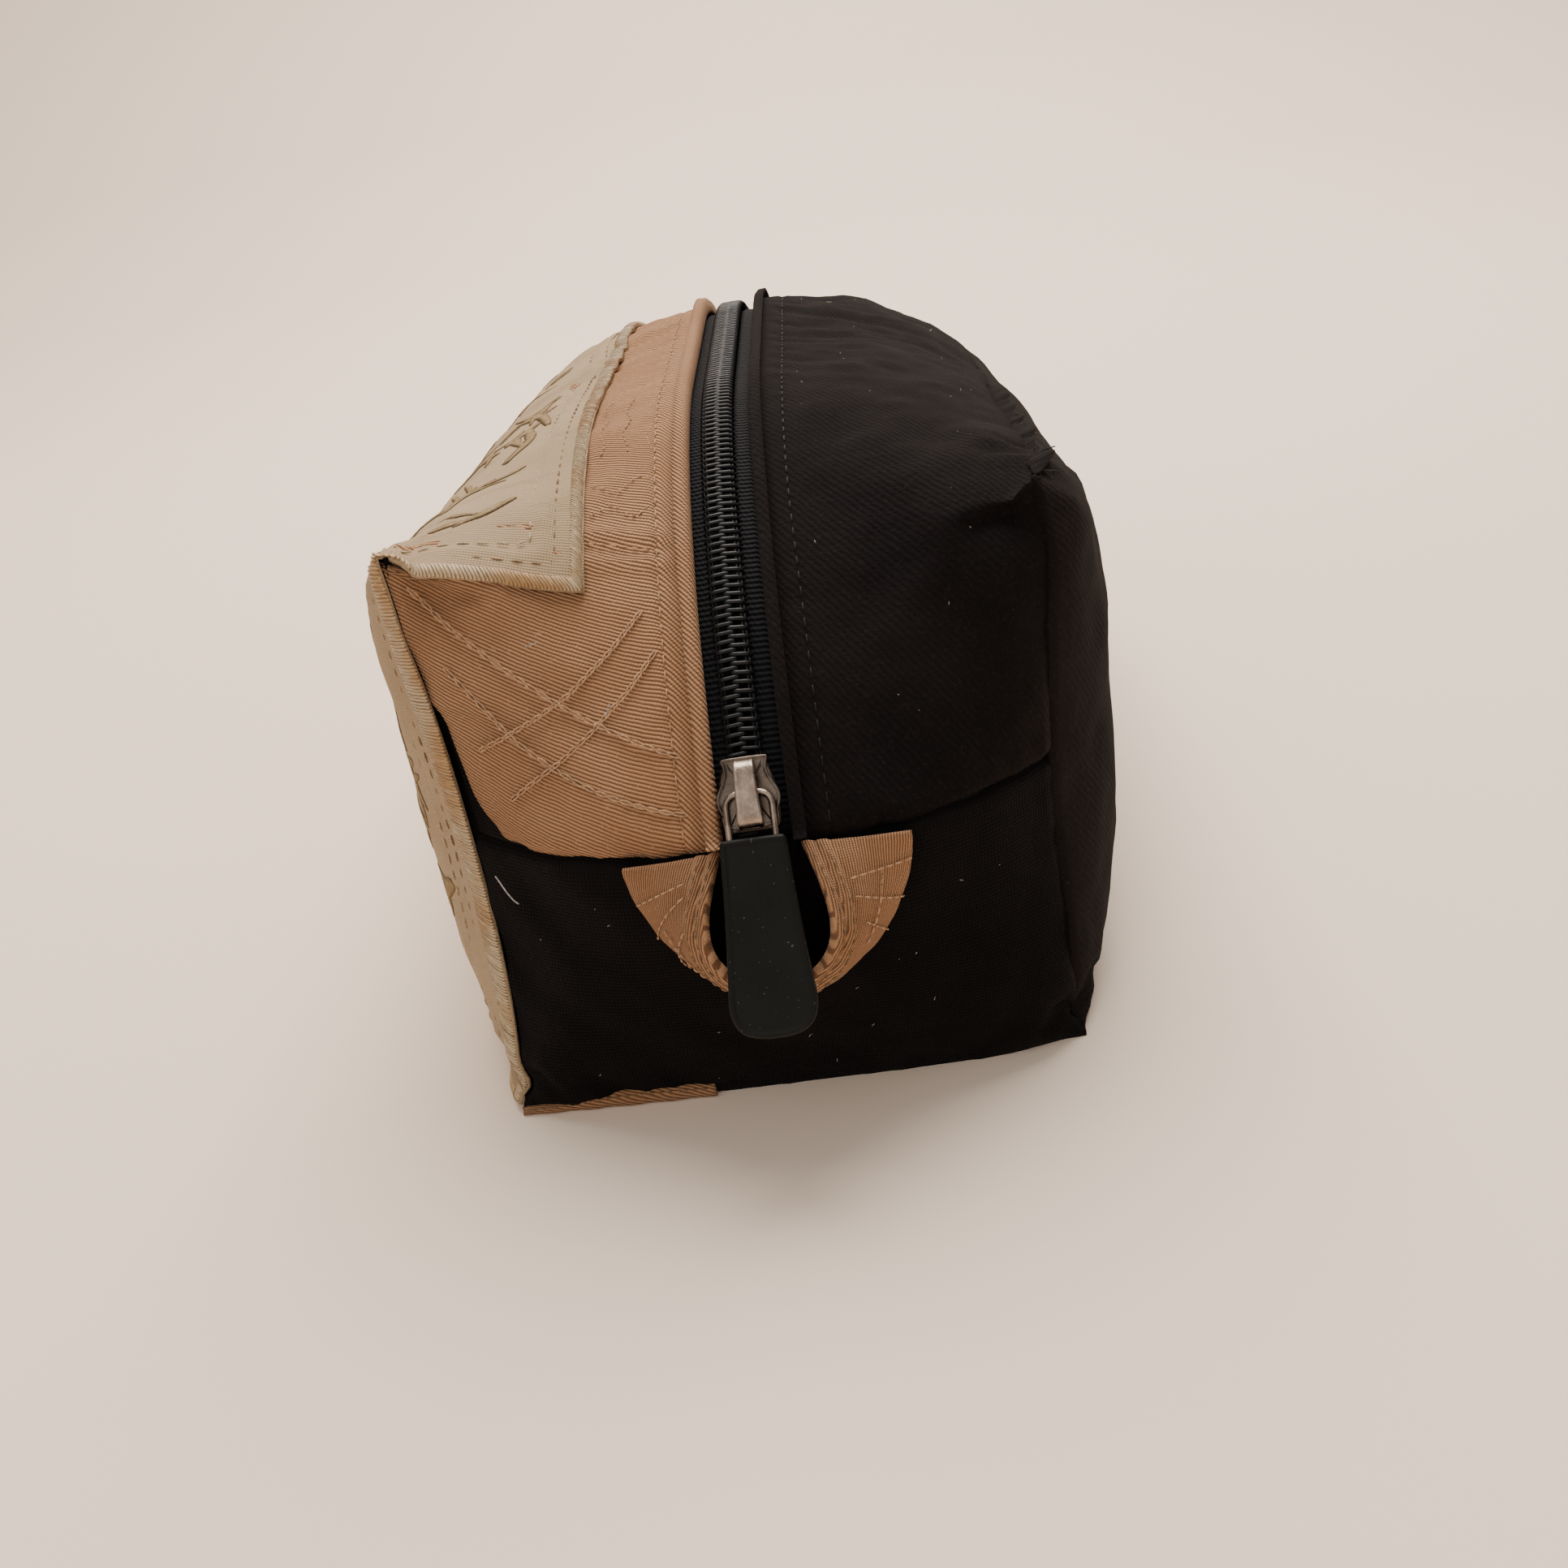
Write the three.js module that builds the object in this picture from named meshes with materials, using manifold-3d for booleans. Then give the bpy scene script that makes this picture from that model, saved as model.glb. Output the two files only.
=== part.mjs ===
// A boxy zipped fabric pouch, closed and lightly filled.
// The cover is patchwork: cloth flaps and tops on each side of a long zip, side walls, two end walls
// and a flat base. A stitched patch wraps the left side, and a grab tab is sewn to the front end.
// Millimetres. +X is the right side, -Y is the front end (where the slider rests), +Z is up.
import * as THREE from 'three';
import Module from 'manifold-3d';

const wasm = await Module();
wasm.setup();

// ---------- Driving sizes ----------
const length = 250;                 // front seam to back seam
const width = 116;                  // across the two top ridges
const height = 112;                 // top of the cover beside the zip
const shoulderRadius = 110;         // the zip runs down each end on an arc of this radius
const shoulderAngle = THREE.MathUtils.degToRad(60);   // turn of that arc, from flat top to seam
const creaseAngle = THREE.MathUtils.degToRad(35);     // where the corner crease meets the zip arc
const gap = 0.3;                    // air between pieces that touch

// Bag corners and bulges
const peakInset = 27;               // top corners stand this far in from the seam, lengthways
const peakDrop = 4;                 // and this far below the top of the cover
const footInset = 5;                // the base edge is this far in from the seam, at the middle
const footCornerInset = 6;          // and at the corners
const footWidth = 111;
const sideBulge = 5;                // the filled side walls swell out at the middle
const followHalfWidth = 16;         // the cover follows the zip arc exactly this far each side
const crownSoftness = 1.5;          // higher keeps the cover flatter before it turns to the corners

// Cloth
const skinThickness = 1.0;
const liningThickness = 0.6;
const liningClearance = 0.4;
const patchThickness = 0.6;
const borderThickness = 0.9;
const borderWidth = 2.8;
const patchFloorGap = 0.6;          // patch and border stay this far off the table
const patchEdge = 25;               // zip centre line to the inner edge of the patch
const baseSplit = -followHalfWidth; // the left base piece ends here

// Zip
const openingHalf = 6.3;            // zip centre line to the folded edge of each flap
const tapeInner = 0.9;
const tapeOuter = 15;
const tapeThickness = 0.6;
const tapeDrop = skinThickness + 0.4;   // top of the tape below the outside of the flaps
const coilInner = 0.55;
const coilOuter = 3.1;
const coilHeight = 2.3;
const zipEndMargin = 1.2;           // tape and coil stop this far short of the seams
const zipStep = 7.5;

// Slider and pull
const sliderLength = 12.4;
const sliderSeamClearance = 2.4;
const sliderHalfWidth = 5.1;
const sliderRearHalfWidth = 3.9;
const channelClearance = 0.4;
const upperPlate = 1.2;
const lowerPlate = 1.0;
const webHalfWidth = 0.25;
const capHalfWidth = 1.75;
const capThickness = 1.0;
const pinWidth = 0.5;
const pinLength = 1.2;
const ringWidth = 9;
const ringLength = 9.2;
const wire = 1.1;
const barRoom = 0.4;                // air above and below the ring bar in the tunnel of the cap
const tabLength = 33;
const tabHeadWidth = 11.2;
const tabFootWidth = 14.6;
const tabThickness = 2.3;
const tabOverRing = 2.6;            // the moulded tab reaches back over the ring by this much

// Grab tab
const grabThickness = 1.6;
const grabDrop = 28;                // seam to the lowest point of the loop
const grabLipRise = 8;              // the free edge sits this much higher than the edge at the wall
const grabLipReach = 13;            // and stands out this far
const grabOuterHalf = 25;
const grabInnerHalf = 7;
const grabOffset = 1.5;             // the loop is sewn in slightly right of the middle
const grabStations = 16;

// ---------- Values that follow from the sizes ----------
const halfLength = length / 2;
const halfWidth = width / 2;
const seamHeight = height - shoulderRadius * (1 - Math.cos(shoulderAngle));
const flatHalf = halfLength - shoulderRadius * Math.sin(shoulderAngle);
const arcLength = shoulderRadius * shoulderAngle;
const zipLength = 2 * arcLength + 2 * flatHalf;
const peakHeight = height - peakDrop;
const peakY = halfLength - peakInset;
const footCornerY = halfLength - footCornerInset;
const bagCentre = new THREE.Vector3(0, 0, height / 2);

// ---------- Materials ----------
const palette = {
  khakiTwill: { color: 0xb0875f, roughness: 0.9, metalness: 0 },
  blackWool: { color: 0x1f1c1c, roughness: 0.95, metalness: 0 },
  blackCanvas: { color: 0x111011, roughness: 0.9, metalness: 0 },
  printedCotton: { color: 0xb8a484, roughness: 0.9, metalness: 0 },
  satinThread: { color: 0xd8c6a4, roughness: 0.5, metalness: 0 },
  liningCloth: { color: 0x5b5a5c, roughness: 0.85, metalness: 0 },
  zipTape: { color: 0x2a2b2e, roughness: 0.8, metalness: 0 },
  nylonCoil: { color: 0x1d1f26, roughness: 0.45, metalness: 0 },
  darkNickel: { color: 0x6e5f55, roughness: 0.32, metalness: 1 },
  blackRubber: { color: 0x141614, roughness: 0.55, metalness: 0 },
};

const bag = new THREE.Group();
bag.name = 'zipped_box_pouch';

function addPiece(name, geometry, slot) {
  const material = new THREE.MeshStandardMaterial(palette[slot]);
  material.name = slot;
  const mesh = new THREE.Mesh(geometry, material);
  mesh.name = name;
  bag.add(mesh);
}

// ---------- Shape of the filled bag ----------
// Point on the zip line, `along` mm from the front seam and `rise` mm outside the cover.
function zipPoint(along, rise) {
  const radius = shoulderRadius + rise;
  const mirrored = along > zipLength / 2;
  const fromEnd = mirrored ? zipLength - along : along;
  let y;
  let z;
  if (fromEnd < arcLength) {
    const angle = shoulderAngle - fromEnd / shoulderRadius;
    y = -flatHalf - radius * Math.sin(angle);
    z = height - shoulderRadius + radius * Math.cos(angle);
  } else {
    y = -flatHalf + (fromEnd - arcLength);
    z = height + rise;
  }
  return { y: mirrored ? -y : y, z };
}

// 0 beside the zip, 1 at the ridge: how far the cover has turned towards the corners.
function cornerBlend(x) {
  const share = (Math.abs(x) - followHalfWidth) / (halfWidth - followHalfWidth);
  return Math.max(0, share) ** crownSoftness;
}

const mix = THREE.MathUtils.lerp;
const edgeHalfWidth = (z) => mix(footWidth / 2, halfWidth, z / peakHeight);
const edgeY = (z) => mix(footCornerY, peakY, z / peakHeight);

function swell(fraction, z) {
  const upright = z / peakHeight;
  return sideBulge * 16 * fraction * (1 - fraction) * upright * (1 - upright);
}

// Grid lines. Every wall uses the same lines where two walls meet.
const crossStops = [
  -halfWidth, -mix(patchEdge + borderWidth, halfWidth, 0.66), -mix(patchEdge + borderWidth, halfWidth, 0.33),
  -patchEdge - borderWidth, -patchEdge, -followHalfWidth, -openingHalf,
  openingHalf, followHalfWidth, mix(followHalfWidth, halfWidth, 0.25), mix(followHalfWidth, halfWidth, 0.5),
  mix(followHalfWidth, halfWidth, 0.75), halfWidth,
];
const leftOfZip = crossStops.indexOf(-openingHalf);
const rightOfZip = crossStops.indexOf(openingHalf);

const flapRows = 4;
const lowerRows = 3;
const arcRows = 4;
const flatRows = 3;
const creaseAlong = (shoulderAngle - creaseAngle) * shoulderRadius;

// Stations along the top: distance along the zip, and the matching place on the ridge.
function topStations() {
  const stations = [{ along: creaseAlong, ridgeY: -peakY }];
  const bordered = creaseAlong + borderWidth;
  stations.push({ along: bordered, ridgeY: -peakY + borderWidth });
  for (let row = 1; row <= arcRows; row += 1) {
    const along = mix(bordered, arcLength, row / arcRows);
    stations.push({ along, ridgeY: zipPoint(along, 0).y });
  }
  for (let row = 1; row < flatRows; row += 1) {
    const along = mix(arcLength, arcLength + 2 * flatHalf, row / flatRows);
    stations.push({ along, ridgeY: zipPoint(along, 0).y });
  }
  const frontHalf = stations.slice(0, 2 + arcRows);
  for (const station of frontHalf.reverse()) {
    stations.push({ along: zipLength - station.along, ridgeY: -station.ridgeY });
  }
  return stations;
}

const stations = topStations();
const ridgeFractions = stations.map((station) => (station.ridgeY + peakY) / (2 * peakY));
const upperHeights = Array.from({ length: flapRows + 1 }, (_, row) => mix(seamHeight, peakHeight, row / flapRows));
const lowerHeights = [0, borderWidth];
for (let row = 1; row <= lowerRows; row += 1) {
  lowerHeights.push(mix(borderWidth, seamHeight, row / lowerRows));
}
const wallHeights = [...lowerHeights, ...upperHeights.slice(1)];

function coverPoint(x, along, ridge) {
  const centre = zipPoint(along, 0);
  const blend = cornerBlend(x);
  const narrowing = mix(1, ridge.halfWidth / halfWidth, blend);
  return new THREE.Vector3(x * narrowing, mix(centre.y, ridge.y, blend), mix(centre.z, ridge.z, blend));
}

function flapPoint(x, row, end) {
  const z = upperHeights[row];
  const ridge = { y: -edgeY(z), z, halfWidth: edgeHalfWidth(z) };
  const point = coverPoint(x, (creaseAlong * row) / flapRows, ridge);
  point.y *= -end;
  return point;
}

function endWallPoint(x, z, end) {
  const blend = cornerBlend(x);
  const upright = z / seamHeight;
  const middleY = mix(halfLength - footInset, halfLength, upright * (2 - upright));
  const narrowing = mix(1, edgeHalfWidth(z) / halfWidth, blend);
  return new THREE.Vector3(x * narrowing, end * mix(middleY, edgeY(z), blend), z);
}

function sideWallPoint(fraction, z, side) {
  const y = mix(-edgeY(z), edgeY(z), fraction);
  return new THREE.Vector3(side * (edgeHalfWidth(z) + swell(fraction, z)), y, z);
}

function basePoint(x, fraction) {
  const front = endWallPoint(x, 0, -1);
  return new THREE.Vector3(front.x, mix(front.y, -front.y, fraction), 0);
}

const makeGrid = (rows, columns, pointAt) => rows.map((row) => columns.map((column) => pointAt(row, column)));
const rowNumbers = (count) => Array.from({ length: count + 1 }, (_, row) => row);

const walls = {
  flapFront: makeGrid(rowNumbers(flapRows), crossStops, (row, x) => flapPoint(x, row, -1)),
  flapBack: makeGrid(rowNumbers(flapRows), crossStops, (row, x) => flapPoint(x, row, 1)),
  top: makeGrid(stations, crossStops, (station, x) => coverPoint(
    x, station.along, { y: station.ridgeY, z: peakHeight, halfWidth })),
  left: makeGrid(wallHeights, ridgeFractions, (z, fraction) => sideWallPoint(fraction, z, -1)),
  right: makeGrid(wallHeights, ridgeFractions, (z, fraction) => sideWallPoint(fraction, z, 1)),
  front: makeGrid(lowerHeights, crossStops, (z, x) => endWallPoint(x, z, -1)),
  back: makeGrid(lowerHeights, crossStops, (z, x) => endWallPoint(x, z, 1)),
  base: makeGrid(ridgeFractions, crossStops, (fraction, x) => basePoint(x, fraction)),
};

// ---------- Cloth panels cut from those walls ----------
function gridNormal(grid, row, column) {
  const rowA = grid[Math.max(row - 1, 0)][column];
  const rowB = grid[Math.min(row + 1, grid.length - 1)][column];
  const columnA = grid[row][Math.max(column - 1, 0)];
  const columnB = grid[row][Math.min(column + 1, grid[row].length - 1)];
  const normal = rowB.clone().sub(rowA).cross(columnB.clone().sub(columnA)).normalize();
  const outward = grid[row][column].clone().sub(bagCentre);
  return normal.dot(outward) < 0 ? normal.negate() : normal;
}

const placeKey = (point) => point.toArray().map((value) => Math.round(value * 100)).join(',');

// One step of depth at a shared corner must be one step under every wall that meets there.
function inwardStep(normals) {
  const steadying = 0.004;
  const matrix = new THREE.Matrix3().set(0, 0, 0, 0, 0, 0, 0, 0, 0);
  const sum = new THREE.Vector3();
  for (const normal of normals) {
    const n = normal.toArray();
    sum.add(normal);
    for (let row = 0; row < 3; row += 1) {
      for (let column = 0; column < 3; column += 1) {
        matrix.elements[column * 3 + row] += n[row] * n[column];
      }
    }
  }
  for (let axis = 0; axis < 3; axis += 1) {
    matrix.elements[axis * 4] += steadying;
  }
  return sum.applyMatrix3(matrix.invert()).negate();
}

function collectNormals() {
  const byPlace = new Map();
  for (const grid of Object.values(walls)) {
    grid.forEach((line, row) => line.forEach((point, column) => {
      const key = placeKey(point);
      const normals = byPlace.get(key) ?? [];
      normals.push(gridNormal(grid, row, column));
      byPlace.set(key, normals);
    }));
  }
  return byPlace;
}

const normalsByPlace = collectNormals();

function atDepth(point, depth) {
  const placed = point.clone().addScaledVector(inwardStep(normalsByPlace.get(placeKey(point))), depth);
  if (depth < 0) {
    placed.z = Math.max(placed.z, patchFloorGap);
  }
  return placed;
}

// Closed sheet over the cells of `grid` that `keep` accepts, between two depths.
// Its outline is pulled in by half a gap so neighbours never touch.
function sheet(grid, depthOuter, depthInner, keep = () => true) {
  const cellKept = (row, column) => row >= 0 && column >= 0 && row < grid.length - 1
    && column < grid[0].length - 1 && keep(row, column);
  const positions = [];
  const triangles = [];
  const indexOf = new Map();

  function pulledIn(layer, row, column) {
    const around = [[-1, -1], [-1, 0], [0, -1], [0, 0]].map(([r, c]) => cellKept(row + r, column + c));
    const rowPull = Math.sign(around[2] + around[3] - around[0] - around[1]);
    const columnPull = Math.sign(around[1] + around[3] - around[0] - around[2]);
    const point = layer[row][column].clone();
    for (const [neighbourRow, neighbourColumn] of [[row + rowPull, column], [row, column + columnPull]]) {
      const step = layer[neighbourRow][neighbourColumn].clone().sub(layer[row][column]);
      if (step.lengthSq() > 0) {
        point.addScaledVector(step.normalize(), gap / 2);
      }
    }
    return point;
  }

  const layers = [depthOuter, depthInner].map((depth) => grid.map((line) => line.map((point) => atDepth(point, depth))));

  function vertex(side, row, column) {
    const key = `${side},${row},${column}`;
    if (!indexOf.has(key)) {
      indexOf.set(key, positions.length / 3);
      positions.push(...pulledIn(layers[side], row, column).toArray());
    }
    return indexOf.get(key);
  }

  function quad(a, b, c, d) {
    triangles.push(a, b, c, a, c, d);
  }

  const probe = grid[1][0].clone().sub(grid[0][0]).cross(grid[0][1].clone().sub(grid[0][0]));
  const rowFirst = probe.dot(grid[0][0].clone().sub(bagCentre)) > 0;
  const outside = rowFirst ? 0 : 1;
  const inside = 1 - outside;
  for (let row = 0; row < grid.length - 1; row += 1) {
    for (let column = 0; column < grid[0].length - 1; column += 1) {
      if (!cellKept(row, column)) {
        continue;
      }
      const corners = [[row, column], [row + 1, column], [row + 1, column + 1], [row, column + 1]];
      quad(...corners.map(([r, c]) => vertex(outside, r, c)));
      const [first, ...others] = corners;   // both faces split along the same diagonal
      quad(...[first, ...others.reverse()].map(([r, c]) => vertex(inside, r, c)));
      const neighbours = [[row, column - 1], [row + 1, column], [row, column + 1], [row - 1, column]];
      neighbours.forEach(([r, c], edge) => {
        if (!cellKept(r, c)) {
          const [from, to] = [corners[edge], corners[(edge + 1) % 4]];
          quad(vertex(outside, ...to), vertex(outside, ...from), vertex(inside, ...from), vertex(inside, ...to));
        }
      });
    }
  }
  const geometry = new THREE.BufferGeometry();
  geometry.setAttribute('position', new THREE.Float32BufferAttribute(positions, 3));
  geometry.setIndex(triangles);
  geometry.computeVertexNormals();
  return geometry;
}

const skin = (grid, keep) => sheet(grid, 0, skinThickness, keep);
const liningDepth = skinThickness + liningClearance;
const lining = (grid) => sheet(grid, liningDepth, liningDepth + liningThickness);
const leftHalf = (row, column) => column < leftOfZip;
const rightHalf = (row, column) => column >= rightOfZip;
const baseSplitColumn = crossStops.indexOf(baseSplit);

addPiece('base_panel_left', skin(walls.base, (row, column) => column < baseSplitColumn), 'khakiTwill');
addPiece('base_panel_right', skin(walls.base, (row, column) => column >= baseSplitColumn), 'blackCanvas');
addPiece('front_end_panel', skin(walls.front), 'blackCanvas');
addPiece('back_end_panel', skin(walls.back), 'blackCanvas');
addPiece('side_panel_left', skin(walls.left), 'blackCanvas');
addPiece('side_panel_right', skin(walls.right), 'blackWool');
addPiece('front_flap_left', skin(walls.flapFront, leftHalf), 'khakiTwill');
addPiece('front_flap_right', skin(walls.flapFront, rightHalf), 'blackWool');
addPiece('top_panel_left', skin(walls.top, leftHalf), 'khakiTwill');
addPiece('top_panel_right', skin(walls.top, rightHalf), 'blackWool');
addPiece('back_flap_left', skin(walls.flapBack, leftHalf), 'khakiTwill');
addPiece('back_flap_right', skin(walls.flapBack, rightHalf), 'blackWool');

addPiece('lining_left', lining(walls.left), 'liningCloth');
addPiece('lining_right', lining(walls.right), 'liningCloth');
addPiece('lining_front', lining(walls.front), 'liningCloth');
addPiece('lining_back', lining(walls.back), 'liningCloth');
addPiece('lining_base', lining(walls.base), 'liningCloth');

// The patch covers the left side wall and turns over the ridge onto the top.
const patchColumns = rowNumbers(crossStops.indexOf(-patchEdge)).slice(1);
const patchGrid = [
  ...walls.left,
  ...patchColumns.map((column) => walls.top.map((line) => line[column])),
];
const onPatchRim = (row, column) => row === 0 || column === 0
  || row === patchGrid.length - 2 || column === patchGrid[0].length - 2;
addPiece('side_patch', sheet(patchGrid, -gap - patchThickness, -gap,
  (row, column) => !onPatchRim(row, column)), 'printedCotton');
addPiece('patch_border', sheet(patchGrid, -gap - borderThickness, -gap, onPatchRim), 'satinThread');

// ---------- Zip ----------
// Sweep an outline of [x, rise] corners along the zip, closed at both ends.
function sweepAlongZip(outline, from, to) {
  const count = Math.round((to - from) / zipStep);
  const positions = [];
  const triangles = [];
  for (let step = 0; step <= count; step += 1) {
    for (const [x, rise] of outline) {
      const place = zipPoint(mix(from, to, step / count), rise);
      positions.push(x, place.y, place.z);
    }
  }
  const corners = outline.length;
  for (let step = 0; step < count; step += 1) {
    for (let corner = 0; corner < corners; corner += 1) {
      const a = step * corners + corner;
      const b = step * corners + ((corner + 1) % corners);
      triangles.push(a, a + corners, b + corners, a, b + corners, b);
    }
  }
  const last = count * corners;
  for (let corner = 1; corner < corners - 1; corner += 1) {
    triangles.push(0, corner, corner + 1, last, last + corner + 1, last + corner);
  }
  const geometry = new THREE.BufferGeometry();
  geometry.setAttribute('position', new THREE.Float32BufferAttribute(positions, 3));
  geometry.setIndex(triangles);
  geometry.computeVertexNormals();
  return geometry;
}

function mirrorAcrossZip(outline) {
  return outline.map(([x, rise]) => [-x, rise]).reverse();
}

const tapeTop = -tapeDrop;
const tapeOutline = [
  [tapeInner, tapeTop - tapeThickness], [tapeOuter, tapeTop - tapeThickness],
  [tapeOuter, tapeTop], [tapeInner, tapeTop],
];
const coilBottom = tapeTop + gap;
const coilTop = coilBottom + coilHeight;

// Half of the closed chain: straight inner edge, rounded outer edge.
function coilOutline() {
  const corners = [[coilInner, coilTop], [coilInner, coilBottom]];
  const arcPoints = 6;
  const reach = (coilOuter - coilInner) / 2;
  for (let step = 0; step <= arcPoints; step += 1) {
    const angle = -Math.PI / 2 + (Math.PI * step) / arcPoints;
    const x = coilInner + reach + reach * Math.cos(angle);
    corners.push([x, coilBottom + (coilHeight / 2) * (1 + Math.sin(angle))]);
  }
  return corners;
}

const zipEnd = zipLength - zipEndMargin;
addPiece('zip_tape_right', sweepAlongZip(tapeOutline, zipEndMargin, zipEnd), 'zipTape');
addPiece('zip_tape_left', sweepAlongZip(mirrorAcrossZip(tapeOutline), zipEndMargin, zipEnd), 'zipTape');
addPiece('zip_coil_right', sweepAlongZip(coilOutline(), zipEndMargin, zipEnd), 'nylonCoil');
addPiece('zip_coil_left', sweepAlongZip(mirrorAcrossZip(coilOutline()), zipEndMargin, zipEnd), 'nylonCoil');

// ---------- Slider, built flat: y towards the back, z outwards from the cover ----------
const sliderAlong = sliderLength / 2 + sliderSeamClearance;
const sliderTilt = shoulderAngle - sliderAlong / shoulderRadius;
const plateBottom = coilTop + channelClearance;
const plateTop = plateBottom + upperPlate;
const plateSag = (sliderLength / 2) ** 2 / (2 * shoulderRadius);   // the arc falls away under a flat plate
const lowerTop = tapeTop - tapeThickness - channelClearance - plateSag;
const barHeight = plateTop + barRoom + wire / 2;
const capInside = barHeight + wire / 2 + barRoom;
const capTop = capInside + capThickness;

function toSolid(geometry) {
  const source = geometry.index ? geometry.toNonIndexed() : geometry;
  const places = source.getAttribute('position');
  const unique = new Map();
  const vertices = [];
  const triVerts = [];
  for (let index = 0; index < places.count; index += 1) {
    const point = [places.getX(index), places.getY(index), places.getZ(index)];
    const key = point.map((value) => Math.round(value * 1e4)).join(',');
    if (!unique.has(key)) {
      unique.set(key, vertices.length / 3);
      vertices.push(...point);
    }
    triVerts.push(unique.get(key));
  }
  return new wasm.Manifold(new wasm.Mesh({
    numProp: 3,
    vertProperties: new Float32Array(vertices),
    triVerts: new Uint32Array(triVerts),
  }));
}

function fromSolid(solid) {
  const mesh = solid.getMesh();
  const geometry = new THREE.BufferGeometry();
  geometry.setAttribute('position', new THREE.Float32BufferAttribute(mesh.vertProperties, 3));
  geometry.setIndex([...mesh.triVerts]);
  geometry.computeVertexNormals();
  return geometry;
}

// Plate with a soft edge: a flat outline raised from `bottom` to `top`.
function plate(outline, bottom, top, softness) {
  const geometry = new THREE.ExtrudeGeometry(outline, {
    depth: top - bottom - 2 * softness,
    bevelEnabled: softness > 0,
    bevelThickness: softness,
    bevelSize: softness,
    bevelOffset: -softness,
    bevelSegments: 1,
    curveSegments: 6,
  });
  geometry.translate(0, 0, bottom + softness);
  return geometry;
}

function block(halfX, yFrom, yTo, bottom, top, x = 0) {
  const geometry = new THREE.BoxGeometry(2 * halfX, yTo - yFrom, top - bottom);
  geometry.translate(x, (yFrom + yTo) / 2, (bottom + top) / 2);
  return geometry;
}

function sliderOutline(noseHalf, rearHalf) {
  const nose = -sliderLength / 2;
  const rear = sliderLength / 2;
  const waist = rear * 0.25;
  const shape = new THREE.Shape();
  shape.moveTo(-noseHalf * 0.7, nose);
  shape.lineTo(noseHalf * 0.7, nose);
  shape.quadraticCurveTo(noseHalf, nose, noseHalf, nose * 0.6);
  shape.lineTo(noseHalf, nose * 0.1);
  shape.quadraticCurveTo(noseHalf, waist, rearHalf, rear * 0.8);
  shape.quadraticCurveTo(rearHalf * 0.95, rear, rearHalf * 0.6, rear);
  shape.lineTo(-rearHalf * 0.6, rear);
  shape.quadraticCurveTo(-rearHalf * 0.95, rear, -rearHalf, rear * 0.8);
  shape.quadraticCurveTo(-noseHalf, waist, -noseHalf, nose * 0.1);
  shape.lineTo(-noseHalf, nose * 0.6);
  shape.quadraticCurveTo(-noseHalf, nose, -noseHalf * 0.7, nose);
  return shape;
}

const pinY = sliderLength * 0.26;
const flangeInner = coilOuter + channelClearance;
const flangeFoot = tapeTop + channelClearance;

function sliderBody() {
  const edge = 0.3;
  const overlap = 0.2;
  const flangeHalf = (sliderHalfWidth - edge - flangeInner) / 2;
  const flangeX = flangeInner + flangeHalf;
  const nose = -sliderLength / 2;
  let solid = toSolid(plate(sliderOutline(sliderHalfWidth, sliderRearHalfWidth), plateBottom, plateTop, edge));
  solid = solid.add(toSolid(plate(
    sliderOutline(sliderHalfWidth * 0.86, sliderRearHalfWidth * 0.9), lowerTop - lowerPlate, lowerTop, edge)));
  for (const side of [-1, 1]) {
    solid = solid.add(toSolid(block(
      flangeHalf, nose * 0.7, 0, flangeFoot, plateBottom + overlap, side * flangeX)));
  }
  solid = solid.add(toSolid(block(
    webHalfWidth, nose * 0.9, nose * 0.2, lowerTop - overlap, plateBottom + overlap)));
  const slot = block(
    pinWidth / 2 + gap, pinY - pinLength / 2 - gap, pinY + pinLength / 2 + gap, plateBottom - 1, plateTop + 1);
  return fromSolid(solid.subtract(toSolid(slot)));
}

// Bridge over the ring bar, standing on a leg at each end of the slider.
function sliderCap() {
  const reach = sliderLength * 0.46;
  const legThickness = 1.3;
  const shape = new THREE.Shape();
  shape.moveTo(-reach, plateTop + gap);
  shape.lineTo(-reach + legThickness, plateTop + gap);
  shape.lineTo(-reach + legThickness * 1.5, capInside);
  shape.lineTo(reach - legThickness * 1.5, capInside);
  shape.lineTo(reach - legThickness, plateTop + gap);
  shape.lineTo(reach, plateTop + gap);
  shape.lineTo(reach - 0.3, capInside);
  shape.quadraticCurveTo(reach - 0.6, capTop, reach - 2.2, capTop);
  shape.lineTo(-reach + 2.2, capTop);
  shape.quadraticCurveTo(-reach + 0.6, capTop, -reach + 0.3, capInside);
  shape.closePath();
  const geometry = plate(shape, -capHalfWidth, capHalfWidth, 0.25);
  geometry.applyMatrix4(new THREE.Matrix4().set(
    0, 0, 1, 0,
    1, 0, 0, 0,
    0, 1, 0, 0,
    0, 0, 0, 1,
  ));
  return geometry;
}

function roundedRectangle(path, halfX, yFrom, yTo, radius) {
  path.moveTo(-halfX + radius, yFrom);
  path.lineTo(halfX - radius, yFrom);
  path.quadraticCurveTo(halfX, yFrom, halfX, yFrom + radius);
  path.lineTo(halfX, yTo - radius);
  path.quadraticCurveTo(halfX, yTo, halfX - radius, yTo);
  path.lineTo(-halfX + radius, yTo);
  path.quadraticCurveTo(-halfX, yTo, -halfX, yTo - radius);
  path.lineTo(-halfX, yFrom + radius);
  path.quadraticCurveTo(-halfX, yFrom, -halfX + radius, yFrom);
  return path;
}

const ringBack = wire / 2;
const ringFront = ringBack - ringLength;

function pullRing() {
  const cornerRadius = 2;
  const shape = roundedRectangle(new THREE.Shape(), ringWidth / 2, ringFront, ringBack, cornerRadius);
  shape.holes.push(roundedRectangle(
    new THREE.Path(), ringWidth / 2 - wire, ringFront + wire, ringBack - wire, cornerRadius - wire));
  return plate(shape, barHeight - wire / 2, barHeight + wire / 2, 0.25);
}

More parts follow.
